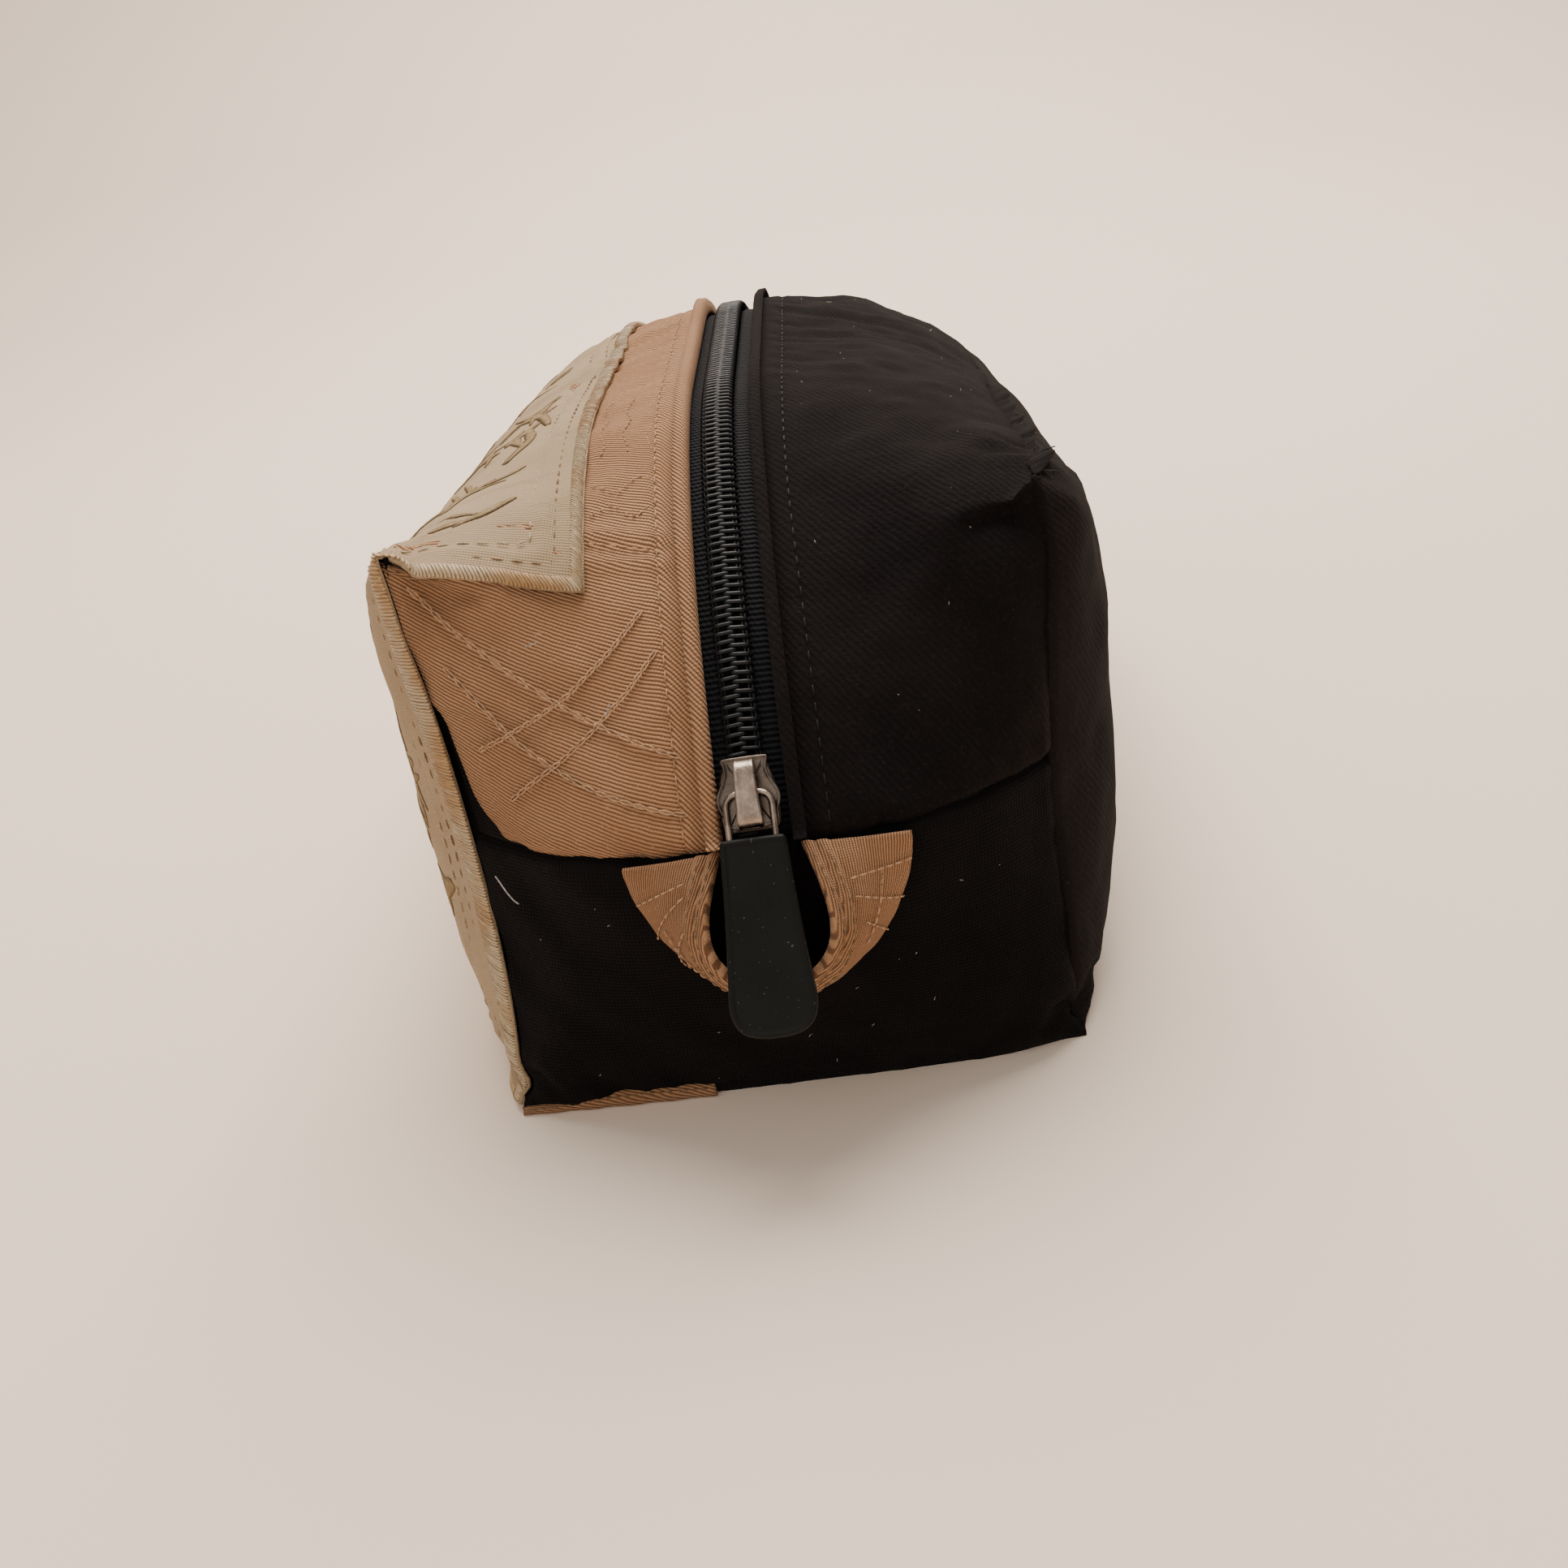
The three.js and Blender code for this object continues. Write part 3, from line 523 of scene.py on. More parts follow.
def khaki_twill(name="khaki_twill", angle=TWILL_ANGLE, shade=1.0, pitch=TWILL_PITCH):
    """Steep cotton twill: fine ribs, a broken weft between them, pale flecks."""
    finish = Finish(name, 0.9, sheen=0.06, specular=0.18)
    wander = finish.math("MULTIPLY", finish.noise(0.004, 2), 0.0005)
    rib = finish.wave(angle, pitch, wander)
    thread = finish.wave(angle + 78, pitch * 0.85, wander)
    fleck = finish.noise(0.0012, 3, stretch=(1, 2.5, 1))
    cloud = finish.noise(0.02, 3)
    height = finish.math("ADD", rib, finish.math("MULTIPLY", thread, 0.3))
    base = finish.blend(finish.step(cloud, 0.3, 0.7), darker(linear(171, 128, 92), shade),
                        darker(linear(186, 144, 108), shade))
    ribbed = finish.blend(finish.step(rib, 0.05, 0.6), darker(linear(112, 77, 52), shade), base)
    finish.colour(finish.blend(finish.step(fleck, 0.62, 0.75, 0, 0.3), ribbed,
                               darker(linear(204, 170, 134), shade)))
    finish.bump(finish.math("ADD", height, finish.math("MULTIPLY", fleck, 0.4)), 0.0003, 0.9)
    return finish.material


def black_wool():
    """Brushed black cloth: short nap, a faint weave under it, specks of pale dust."""
    finish = Finish("black_wool", 0.96, sheen=0.03, specular=0.1)
    finish.shader.inputs["Sheen Tint"].default_value = (0.5, 0.42, 0.4, 1)
    fibre = finish.noise(0.0009, 5, stretch=(1, 1.7, 1), roughness=0.7)
    nap = finish.noise(0.0035, 4, roughness=0.65)
    patchy = finish.noise(0.03, 3)
    weave = finish.wave(35, 0.0011, finish.math("MULTIPLY", nap, 0.0009))
    base = finish.blend(finish.step(patchy, 0.3, 0.7), linear(15, 12, 13), linear(23, 19, 19))
    fuzzy = finish.blend(finish.step(fibre, 0.5, 0.78, 0, 0.7), base, linear(38, 33, 32))
    dust = finish.noise(0.0008, 2, roughness=0.9)
    finish.colour(finish.blend(finish.step(dust, 0.76, 0.82, 0, 0.6), fuzzy, linear(120, 112, 106)))
    height = finish.math("ADD", fibre, finish.math("ADD", finish.math("MULTIPLY", nap, 0.8),
                                                   finish.math("MULTIPLY", weave, 0.35)))
    finish.bump(height, 0.0005, 0.8)
    return finish.material


def black_canvas():
    finish = Finish("black_canvas", 0.9, sheen=0.015, specular=0.08)
    weft = finish.wave(0, 0.0007)
    warp = finish.wave(90, 0.0007)
    fibre = finish.noise(0.0012, 4, roughness=0.7)
    patchy = finish.noise(0.025, 3)
    base = finish.blend(finish.step(patchy, 0.35, 0.7), linear(10, 8, 9), linear(16, 13, 14))
    finish.colour(finish.blend(finish.step(fibre, 0.66, 0.8, 0, 0.4), base, linear(38, 34, 33)))
    height = finish.math("ADD", finish.math("MULTIPLY", weft, warp), finish.math("MULTIPLY", fibre, 0.7))
    finish.bump(height, 0.0003, 0.7)
    return finish.material


def patch_cotton():
    """The patch's plain ground: a pale, slightly slubby cotton with faint washed-out marks."""
    finish = Finish("patch_cotton", 0.87, sheen=0.06, specular=0.2)
    slub = finish.math("MULTIPLY", finish.noise(0.003, 2), 0.0003)
    weft = finish.wave(4, 0.00062, slub)
    warp = finish.wave(94, 0.0005)
    weave = finish.math("MULTIPLY", weft, warp)
    wash = finish.noise(0.03, 3)
    marks = finish.noise(0.011, 3, vector=finish.flat, stretch=(2.0, 0.6, 1), roughness=0.55)
    ground = finish.blend(finish.step(wash, 0.3, 0.7), linear(178, 154, 122), linear(192, 168, 136))
    faded = finish.blend(finish.step(marks, 0.56, 0.62, 0, 0.35), ground, linear(158, 136, 104))
    finish.colour(finish.blend(finish.step(weave, 0.1, 0.5, 0.35, 0), faded, linear(118, 98, 72)))
    finish.bump(finish.math("ADD", weave, finish.math("MULTIPLY", finish.noise(0.004, 3), 0.8)), 0.00024, 0.9)
    return finish.material


def print_ink():
    finish = Finish("print_ink", 0.9, specular=0.15)
    wear = finish.noise(0.0015, 3, roughness=0.7)
    finish.colour(finish.blend(finish.step(wear, 0.42, 0.7), linear(132, 111, 80), linear(160, 138, 106)))
    finish.bump(finish.math("MULTIPLY", finish.wave(4, 0.00062), finish.wave(94, 0.0005)), 0.0001, 0.6)
    return finish.material


def satin_thread():
    """Dense shiny thread laid across the border, cream with gold showing through in places, with painted
    highlights streaked along the threads.
    """
    finish = Finish("satin_thread", 0.42, sheen=0.15, specular=0.5)
    wander = finish.math("MULTIPLY", finish.noise(0.0012, 2), 0.0003)
    lay = finish.wave(0, SATIN_PITCH * MM, wander)
    painted_highlight_and_relief = finish.noise(0.0009, 3, vector=finish.flat, stretch=(3, 0.4, 1), roughness=0.7)
    slow = finish.noise(0.016, 2)
    tone = finish.blend(finish.step(slow, 0.4, 0.62), linear(214, 192, 154), linear(194, 150, 96))
    shaded = finish.blend(finish.step(lay, 0.05, 0.55), linear(126, 98, 64), tone)
    # The pale streaks along the threads are a painted highlight; the same noise also gives the threads their
    # bump.
    finish.colour(finish.blend(finish.step(painted_highlight_and_relief, 0.5, 0.7, 0, 0.55), shaded, linear(238, 222, 192)))
    finish.bump(finish.math("ADD", lay, painted_highlight_and_relief), 0.00025, 0.8)
    return finish.material


def zip_tape():
    finish = Finish("zip_tape", 0.85, sheen=0.04, specular=0.15)
    rib = finish.wave(90, 0.0011)
    chevron = finish.wave(25, 0.0009)
    fibre = finish.noise(0.0009, 4)
    base = finish.blend(rib, linear(8, 9, 12), linear(20, 21, 25))
    finish.colour(finish.blend(finish.step(fibre, 0.6, 0.8, 0, 0.5), base, linear(40, 40, 43)))
    finish.bump(finish.math("ADD", rib, finish.math("MULTIPLY", chevron, 0.5)), 0.0003, 0.9)
    return finish.material


def nylon_coil():
    finish = Finish("nylon_coil", 0.45, specular=0.3)
    tone = finish.noise(0.01, 2)
    finish.colour(finish.blend(tone, linear(8, 9, 11), linear(17, 18, 22)))
    finish.rough(finish.step(finish.noise(0.0015, 3), 0.3, 0.7, 0.36, 0.55))
    return finish.material


def nickel(name, shade):
    finish = Finish(name, 0.3, metallic=1.0)
    smear = finish.noise(0.004, 4, roughness=0.65)
    scratch = finish.noise(0.0009, 2, stretch=(1, 8, 8), roughness=0.6)
    finish.colour(finish.blend(finish.step(smear, 0.35, 0.7),
                               darker(linear(122, 108, 98), shade), darker(linear(176, 162, 149), shade)))
    finish.rough(finish.step(smear, 0.3, 0.7, 0.2, 0.4))
    finish.bump(finish.math("ADD", scratch, smear), 0.00006, 0.6)
    return finish.material


def black_rubber():
    """Matt moulded rubber with dust and short pale fibres clinging to it."""
    finish = Finish("black_rubber", 0.6, specular=0.2)
    grain = finish.noise(0.0006, 3, roughness=0.6)
    haze = finish.noise(0.008, 3)
    lint = finish.noise(0.00055, 2, stretch=(1, 1, 0.45), roughness=0.35)
    base = finish.blend(finish.step(haze, 0.3, 0.7), linear(6, 8, 6), linear(12, 14, 11))
    dusty = finish.blend(finish.step(grain, 0.66, 0.76, 0, 0.3), base, linear(36, 38, 33))
    finish.colour(finish.blend(finish.step(lint, 0.72, 0.76, 0, 0.6), dusty, linear(92, 92, 84)))
    finish.rough(finish.step(haze, 0.3, 0.7, 0.5, 0.7))
    finish.bump(grain, 0.00008, 0.6)
    return finish.material


def lining_cloth():
    finish = Finish("lining_cloth", 0.8)
    weave = finish.math("MULTIPLY", finish.wave(0, 0.0006), finish.wave(90, 0.0006))
    finish.colour(finish.blend(weave, linear(70, 69, 72), linear(96, 95, 98)))
    finish.bump(weave, 0.0002, 0.6)
    return finish.material


def thread(name, shade):
    finish = Finish(name, 0.65, sheen=0.1, specular=0.25)
    ply = finish.noise(0.0006, 2, roughness=0.6)
    finish.colour(finish.blend(finish.step(ply, 0.35, 0.65), tuple(c * 0.6 for c in shade), shade))
    finish.bump(ply, 0.0001, 0.6)
    return finish.material


materials = {
    "khaki": khaki_twill(),
    "khaki_hem": khaki_twill("khaki_twill_hem", HEM_TWILL_ANGLE),
    "khaki_dark": khaki_twill("khaki_twill_base", 20.0, 0.9),
    "khaki_fine": khaki_twill("khaki_twill_fine", 8.0, 1.1, 0.00046),
    "wool": black_wool(),
    "canvas": black_canvas(),
    "print": patch_cotton(),
    "ink": print_ink(),
    "satin": satin_thread(),
    "tape": zip_tape(),
    "coil": nylon_coil(),
    "nickel": nickel("dark_nickel", 1.0),
    # The slider body's copy of the nickel is darkened to 0.42 of the cap's: painted shade on the same metal.
    "nickel_body_painted_shade": nickel("dark_nickel_body", 0.42),
    "rubber": black_rubber(),
    "lining": lining_cloth(),
    "khaki_thread": thread("khaki_thread", linear(190, 150, 114)),
    "brown_thread": thread("brown_thread", linear(140, 112, 78)),
    "cream_thread": thread("cream_thread", linear(196, 174, 140)),
    "dark_thread": thread("dark_thread", linear(12, 11, 12)),
    "lint": thread("lint", linear(170, 164, 158)),
}


def dress(piece, *keys):
    piece.data.materials.clear()
    for key in keys:
        piece.data.materials.append(materials[key])


# ---------------------------------------------------------------- the cover beside the zip
SEAM_TUCK = 1.2           # the cloth turns in along the end seams
HEM_PROFILE = (           # across the folded hem: distance from the fold line, rise, millimetres
    (2.6, -2.4), (1.0, -2.3), (0.25, -1.6), (0.0, -0.7), (0.25, 0.15), (0.9, 0.75), (1.9, 0.95), (3.2, 0.9),
    (4.6, 0.85), (5.7, 0.7), (6.4, 0.35), (6.75, 0.1), (7.1, 0.3), (7.9, 0.4), (9.5, 0.15), (11.5, 0.0),
)


def soft_noise(x, y, size, seed):
    """Smooth bumps -1..1, about `size` mm across, the same on every run."""
    waves = np.random.default_rng(seed)
    total = 0.0
    for _ in range(9):
        turn = waves.uniform(0, 2 * math.pi)
        stretch = waves.uniform(0.6, 1.7)
        phase = waves.uniform(0, 2 * math.pi)
        total = total + np.sin(
            (x * math.cos(turn) + y * math.sin(turn)) * stretch * 2 * math.pi / size + phase)
    return total / 4.5


def bell(value, width):
    return np.exp(-(value / width) ** 2)


HEM_COLUMNS = 11          # columns of the profile that lie on the folded hem
FOLD_LINE = {-1: 5.5, 1: 6.4}    # from the middle of the zip to each fold
FLAP_TAPER = (            # left flap: height, and how far its edge stands in from the border, millimetres
    (57.0, 10.5), (59.0, 8.5), (62.0, 6.2), (66.0, 4.4), (71.0, 3.2), (76.0, 2.5), (80.0, 2.1), (82.0, 0.0),
)


def tapered(x, along):
    """Places across each row of the left cover, drawn in where the front flap tapers."""
    heights = SEAM_Z + (PEAK_Z - SEAM_Z) * along / CREASE_ALONG
    inset = np.interp(heights, *zip(*FLAP_TAPER))
    share = (x.max() - x) / (x.max() - x[0])
    return x[None, :] + inset[:, None] * share[None, :] ** 2


def cover_half(name, side, nodes, keys):
    """One side of the cover, from seam to seam, with its rolled hem beside the zip."""
    fold = FOLD_LINE[side]
    beyond = np.concatenate([[e for e, _ in HEM_PROFILE], np.linspace(13.5, HALF_WIDTH - fold, 20)])
    hem_rise = np.concatenate([[r for _, r in HEM_PROFILE], np.zeros(20)])
    x = side * (fold + beyond)
    along = np.concatenate([[0.0, 0.4, 0.9], np.linspace(1.6, ZIP_LENGTH - 1.6, 170),
                            [ZIP_LENGTH - 0.9, ZIP_LENGTH - 0.4, ZIP_LENGTH]])
    if side < 0:
        x = x[::-1]
        hem_rise = hem_rise[::-1]
    flat_x, flat_along = np.meshgrid(x, along)
    shifted = None
    if side < 0:
        shifted = flat_x = tapered(x, along)
    from_seam = np.minimum(flat_along, ZIP_LENGTH - flat_along)
    rise = np.broadcast_to(hem_rise, flat_x.shape).copy()
    rise -= SEAM_TUCK * bell(from_seam, 0.9)
    away = np.clip((np.abs(flat_x) - OPENING - 8) / 8, 0, 1)
    rise += away * 0.55 * soft_noise(flat_x, flat_along, 26, 3 + side)
    rise += away * 0.22 * soft_noise(flat_x, flat_along, 9, 5 + side)
    rise += 0.25 * bell(from_seam - 2.5, 2.2) * np.sin(flat_x * 2 * math.pi / 6.2 + 1)
    if side < 0:
        for ridge, size in ((54.0, 0.75), (60.0, 0.65)):
            slanted = flat_along - ridge + (flat_x + 15) * 0.12
            rise += size * bell(slanted, 1.1) * np.clip((np.abs(flat_x) - 8.5) / 3, 0, 1)
        rise -= 0.35 * bell(flat_along - 57, 1.2) * np.clip((np.abs(flat_x) - 8.5) / 3, 0, 1)
    piece = panel(name, "cover", row_of(COVER_ALONG, along), row_of(CROSS, x), rise, 0.9, along, x,
                  nodes, shifted)
    dress(piece, *keys)
    columns = len(x) - 1
    on_hem = [(k % columns >= columns - HEM_COLUMNS) if side < 0 else (k % columns < HEM_COLUMNS)
              for k in range(2 * columns * (len(along) - 1))]
    for polygon, hemmed in zip(piece.data.polygons, on_hem):
        polygon.material_index = 1 if hemmed and len(keys) > 1 else 0


cover_half("cover_left", -1, ("front_flap_left", "top_panel_left", "back_flap_left"),
           ("khaki", "khaki_hem"))
cover_half("cover_right", 1, ("front_flap_right", "top_panel_right", "back_flap_right"),
           ("wool",))


def corner_gusset():
    """Black cloth that shows beside the tapered corner of the left flap."""
    x = np.linspace(-HALF_WIDTH, -HALF_WIDTH + 18, 14)
    along = np.linspace(0.3, CREASE_ALONG * 0.6, 22)
    rise = np.full((len(along), len(x)), -1.15)
    piece = panel("corner_gusset", "cover", row_of(COVER_ALONG, along), row_of(CROSS, x), rise, 0.6, along, x,
                  ())
    dress(piece, "canvas")


corner_gusset()


# ---------------------------------------------------------------- end walls, side walls and base
def end_panel(end):
    x = np.linspace(-HALF_WIDTH, HALF_WIDTH, 60)
    z = np.concatenate([np.linspace(0, SEAM_Z - 1.6, 32), [SEAM_Z - 0.9, SEAM_Z - 0.4, SEAM_Z]])
    flat_x, flat_z = np.meshgrid(x, z)
    rise = -SEAM_TUCK * bell(SEAM_Z - flat_z, 0.8)
    rise = rise + 0.5 * soft_noise(flat_x, flat_z, 24, 11 + end) * np.clip(flat_z / 8, 0, 1)
    rise = rise + 0.2 * soft_noise(flat_x, flat_z, 8, 13 + end)
    name, wall = ("end_front", "front") if end < 0 else ("end_back", "back")
    piece = panel(name, wall, row_of(LOW_Z, z), row_of(CROSS, x), rise, 1.0, z, x, (wall + "_end_panel",))
    dress(piece, "canvas")


def side_wall(side):
    y = np.linspace(-PEAK_Y, PEAK_Y, 110)
    z = np.linspace(0, PEAK_Z, 50)
    flat_y, flat_z = np.meshgrid(y, z)
    rise = 0.6 * soft_noise(flat_y, flat_z, 34, 21 + side) + 0.2 * soft_noise(flat_y, flat_z, 11, 23 + side)
    rise = rise * np.clip(flat_z / 10, 0, 1) * np.clip((PEAK_Z - flat_z) / 6, 0, 1)
    name = "left" if side < 0 else "right"
    if side < 0:
        rise = rise - 0.6
    piece = panel("wall_" + name, name, row_of(WALL_Z, z), row_of(RIDGE_Y, y), rise, 1.0, z, y,
                  ("side_panel_" + name,))
    dress(piece, "canvas" if side < 0 else "wool")


def base_piece(name, x_from, x_to, node, material):
    x = np.linspace(x_from, x_to, max(8, round((x_to - x_from) / 3)))
    fraction = np.linspace(0, 1, 70)
    flat_x, flat_f = np.meshgrid(x, fraction)
    rise = np.zeros_like(flat_x)
    piece = panel(name, "base", fraction * (len(FRACTION) - 1), row_of(CROSS, x), rise, 1.0,
                  fraction * 2 * FOOT_Y, x, (node,))
    dress(piece, material)


for end in (-1, 1):
    end_panel(end)
for side in (-1, 1):
    side_wall(side)
base_piece("foot_left", -HALF_WIDTH, -FOLLOW, "base_panel_left", "khaki_dark")
base_piece("foot_right", -FOLLOW + 0.3, HALF_WIDTH, "base_panel_right", "canvas")


def lining_sheets():
    """The lining, a little inside each wall."""
    spans = {"left": (WALL_Z, RIDGE_Y), "right": (WALL_Z, RIDGE_Y), "front": (LOW_Z, CROSS),
             "back": (LOW_Z, CROSS), "base": (RIDGE_Y, CROSS)}
    for wall, (rows, columns) in spans.items():
        row = np.linspace(0.8, len(rows) - 1.8, 24)
        column = np.linspace(0.8, len(columns) - 1.8, 30)
        piece = panel("lining_" + wall + "_cloth", wall, row, column, np.full((24, 30), -2.2), 0.5,
                      np.linspace(0, 110, 24), np.linspace(0, 230, 30), ("lining_" + wall,))
        dress(piece, "lining")


lining_sheets()


# ---------------------------------------------------------------- the patch and its satin border
def patch_path(across, along_fraction):
    """Points and normals on the patch: `across` runs 0..PEAK_Z up the left wall, then on over the top."""
    low = across <= PEAK_Z
    wall_points, wall_normals = read_wall("left", row_of(WALL_Z, across[low]),
                                          along_fraction * (len(RIDGE_Y) - 1))
    top_x = -HALF_WIDTH + (across[~low] - PEAK_Z)
    rows = FLAP_ROWS - 1 + along_fraction * (len(RIDGE_Y) - 1)
    top_points, top_normals = read_wall("cover", rows, row_of(CROSS, top_x))
    points = np.concatenate([wall_points, np.swapaxes(top_points, 0, 1)])
    normals = np.concatenate([wall_normals, np.swapaxes(top_normals, 0, 1)])
    for _ in range(4):
        normals[1:-1] = normals[:-2] + 2 * normals[1:-1] + normals[2:]
        normals /= np.linalg.norm(normals, axis=2, keepdims=True)
    return points, normals


PATCH_TOP = HALF_WIDTH - PATCH_EDGE
PATCH_ACROSS = PEAK_Z + PATCH_TOP
PATCH_LOW = 1.5


STITCH_ROWS = (5.2, 9.4)  # running stitches round the patch, this far in from its edge


def patch_rise(across, fraction):
    """How far the patch's face stands off the wall: puckered, and pulled down along its stitch rows."""
    along = fraction * 2 * PEAK_Y
    edge = np.minimum.reduce([along, 2 * PEAK_Y - along, across - PATCH_LOW, PATCH_ACROSS - across])
    rise = 0.9 + 0.45 * soft_noise(along, across, 22, 31) * np.clip(edge / 8, 0, 1)
    rise = rise + 0.35 * bell(edge - sum(STITCH_ROWS) / 2, 1.5)
    for row in STITCH_ROWS:
        rise = rise - 0.28 * bell(edge - row, 0.8)
    return rise


def patch_shapes():
    across = np.concatenate([np.linspace(PATCH_LOW, PEAK_Z - 2, 54), [PEAK_Z - 1, PEAK_Z, PEAK_Z + 1],
                             np.linspace(PEAK_Z + 2, PATCH_ACROSS, 26)])
    fraction = np.linspace(0.0, 1.0, 130)
    points, normals = patch_path(across, fraction)
    ys, acrosses = np.meshgrid(fraction * 2 * PEAK_Y, across)
    rise = patch_rise(acrosses, ys / (2 * PEAK_Y))
    outer = points + normals * rise[..., None]
    inner = points + normals * (rise - 0.7)[..., None]
    piece = shell("patch", outer, inner, np.stack([ys, acrosses], -1), flip=faces_inward(walls["left"]))
    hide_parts("side_patch")
    dress(piece, "print")


patch_shapes()


def patch_loop(inset, count):
    """Places (across, fraction) evenly round the patch, `inset` mm inside its edge."""
    low, high = PATCH_LOW + inset, PATCH_ACROSS - inset
    side = inset / (2 * PEAK_Y)
    corners = np.array([(low, side), (high, side), (high, 1 - side), (low, 1 - side), (low, side)])
    scale = np.array([1, 2 * PEAK_Y])
    lengths = np.linalg.norm(np.diff(corners * scale, axis=0), axis=1)
    marks = np.concatenate([[0], np.cumsum(lengths)])
    place = np.linspace(0, marks[-1], count, endpoint=False)
    return np.stack([np.interp(place, marks, corners[:, k]) for k in (0, 1)], -1), marks[-1]


def read_patch(places, lift):
    """Points at (across, fraction) places, `lift` mm off the wall, with their normals."""
    across_marks = np.concatenate([np.linspace(0, PEAK_Z, 44), np.linspace(PEAK_Z + 1, PATCH_ACROSS + 1, 26)])
    fraction_marks = np.linspace(0, 1, 90)
    points, normals = patch_path(across_marks, fraction_marks)
    row = np.interp(places[:, 0], across_marks, np.arange(len(across_marks)))
    column = places[:, 1] * (len(fraction_marks) - 1)
    row_low = np.clip(row.astype(int), 0, len(across_marks) - 2)
    column_low = np.clip(column.astype(int), 0, len(fraction_marks) - 2)
    row_share, column_share = (row - row_low)[:, None], (column - column_low)[:, None]

    def read(grid):
        near = mix(grid[row_low, column_low], grid[row_low, column_low + 1], column_share)
        far = mix(grid[row_low + 1, column_low], grid[row_low + 1, column_low + 1], column_share)
        return mix(near, far, row_share)

    normal = read(normals)
    normal /= np.linalg.norm(normal, axis=1, keepdims=True)
    return read(points) + normal * lift, normal


def satin_border():
    """A dense band of satin stitches over the patch's edge: a ribbed tube, flat underneath."""
    _, around = patch_loop(BORDER / 2, 4)
    count = round(around / SATIN_PITCH) * 3
    section = [(-1.0, 0.0), (-0.92, 0.5), (-0.55, 0.85), (0.0, 1.0), (0.55, 0.85), (0.92, 0.5), (1.0, 0.0)]
    rings = []
    ridge = np.where(np.arange(count) % 3 == 0, -0.2, 0.08)
    uneven = 0.12 * np.random.default_rng(17).standard_normal(count)
    for reach, height in section:
        width = (BORDER / 2 + 0.25) * (1 + 0.25 * uneven)
        places, _ = patch_loop(BORDER / 2, count)
        inner, _ = patch_loop(BORDER / 2 + 0.5, count)
        outer, _ = patch_loop(BORDER / 2 - 0.5, count)
        scale = np.array([1, 2 * PEAK_Y])
        sideways = (outer - inner) * scale
        sideways /= np.maximum(np.linalg.norm(sideways, axis=1, keepdims=True), 1e-6)
        shifted = places + sideways * (reach * width)[:, None] / scale
        lift = 0.75 + height * (0.95 + ridge + 0.3 * uneven)
        points, _ = read_patch(shifted, lift[:, None])
        rings.append(points)
    points = np.stack(rings, 1)
    sides = len(section)
    faces = []
    flat = np.stack(np.meshgrid(np.arange(sides) * 0.5, np.arange(count) * around / count)[::-1], -1)
    for ring in range(count):
        following = (ring + 1) % count
        for k in range(sides):
            after = (k + 1) % sides
            faces.append((ring * sides + k, following * sides + k,
                          following * sides + after, ring * sides + after))
    piece = new_piece("border", points, faces, cloth=flat)
    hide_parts("patch_border")
    dress(piece, "satin")


satin_border()


# ---------------------------------------------------------------- thread work
def tube_faces(rings, sides, offset):
    faces = []
    for ring in range(rings - 1):
        for k in range(sides):
            a, b = offset + ring * sides + k, offset + ring * sides + (k + 1) % sides
            faces.append((a, b, b + sides, a + sides))
    faces.append(tuple(offset + k for k in reversed(range(sides))))
    faces.append(tuple(offset + (rings - 1) * sides + k for k in range(sides)))
    return faces


def tube(path, radius, sides=6, up=(0, 0, 1)):
    """Points and faces of a closed tube along a path; `radius` may change along it."""
    path = np.asarray(path, float)
    radius = np.broadcast_to(radius, len(path))
    forward = np.gradient(path, axis=0)
    forward /= np.maximum(np.linalg.norm(forward, axis=1, keepdims=True), 1e-9)
    across = np.cross(forward, np.broadcast_to(up, path.shape))
    across /= np.maximum(np.linalg.norm(across, axis=1, keepdims=True), 1e-9)
    over = np.cross(across, forward)
    angles = np.arange(sides) * 2 * math.pi / sides
    points = (path[:, None] + radius[:, None, None] * (
        np.cos(angles)[None, :, None] * across[:, None] + np.sin(angles)[None, :, None] * over[:, None]))
    return points.reshape(-1, 3), tube_faces(len(path), sides, 0)


class Bundle:
    """Many small closed tubes gathered into one piece."""

    def __init__(self):
        self.points, self.faces, self.count = [], [], 0

    def add(self, points, faces):
        self.points.append(points)
        self.faces.extend(tuple(index + self.count for index in face) for face in faces)
        self.count += len(points)

    def make(self, name, key, body="pouch"):
        piece = new_piece(name, np.concatenate(self.points), self.faces, body)
        dress(piece, key)
        return piece


def resample(points, spacing):
    """Even steps of about `spacing` mm along a line of points."""
    points = np.asarray(points, float)
    marks = np.concatenate([[0], np.cumsum(np.linalg.norm(np.diff(points, axis=0), axis=1))])
    count = max(2, round(marks[-1] / spacing) + 1)
    place = np.linspace(0, marks[-1], count)
    return np.stack([np.interp(place, marks, points[:, k]) for k in range(points.shape[1])], -1)


def chain_stitches(bundle, line, normals, radius=0.17):
    """Looped stitches, each starting inside the loop before it."""
    for start, end, up in zip(line, line[1:], normals):
        ahead = end - start
        sideways = np.cross(up, ahead)
        sideways /= max(np.linalg.norm(sideways), 1e-9)
        share = np.linspace(0, 1, 9)
        reach = 0.32 * np.sin(share * math.pi) ** 0.7
        lift = 0.12 + 0.16 * np.sin(share * math.pi)
        for side in (-1, 1):
            path = (start + ahead * (share * 1.15)[:, None] + side * sideways * reach[:, None]
                    + up * lift[:, None])
            bundle.add(*tube(path, radius * (0.75 + 0.25 * np.sin(share * math.pi)), 5, up))


def run_stitches(bundle, line, normals, radius=0.2, share=0.62, lift=0.12):
    """Plain straight stitches with a dip at each end."""
    for start, end, up in zip(line, line[1:], normals):
        part = np.linspace(0, share, 5)
        arch = np.sin(np.linspace(0, math.pi, 5))
        path = start + (end - start) * part[:, None] + up * (lift * arch - 0.04)[:, None]
        bundle.add(*tube(path, radius * (0.5 + 0.5 * arch), 5, up))


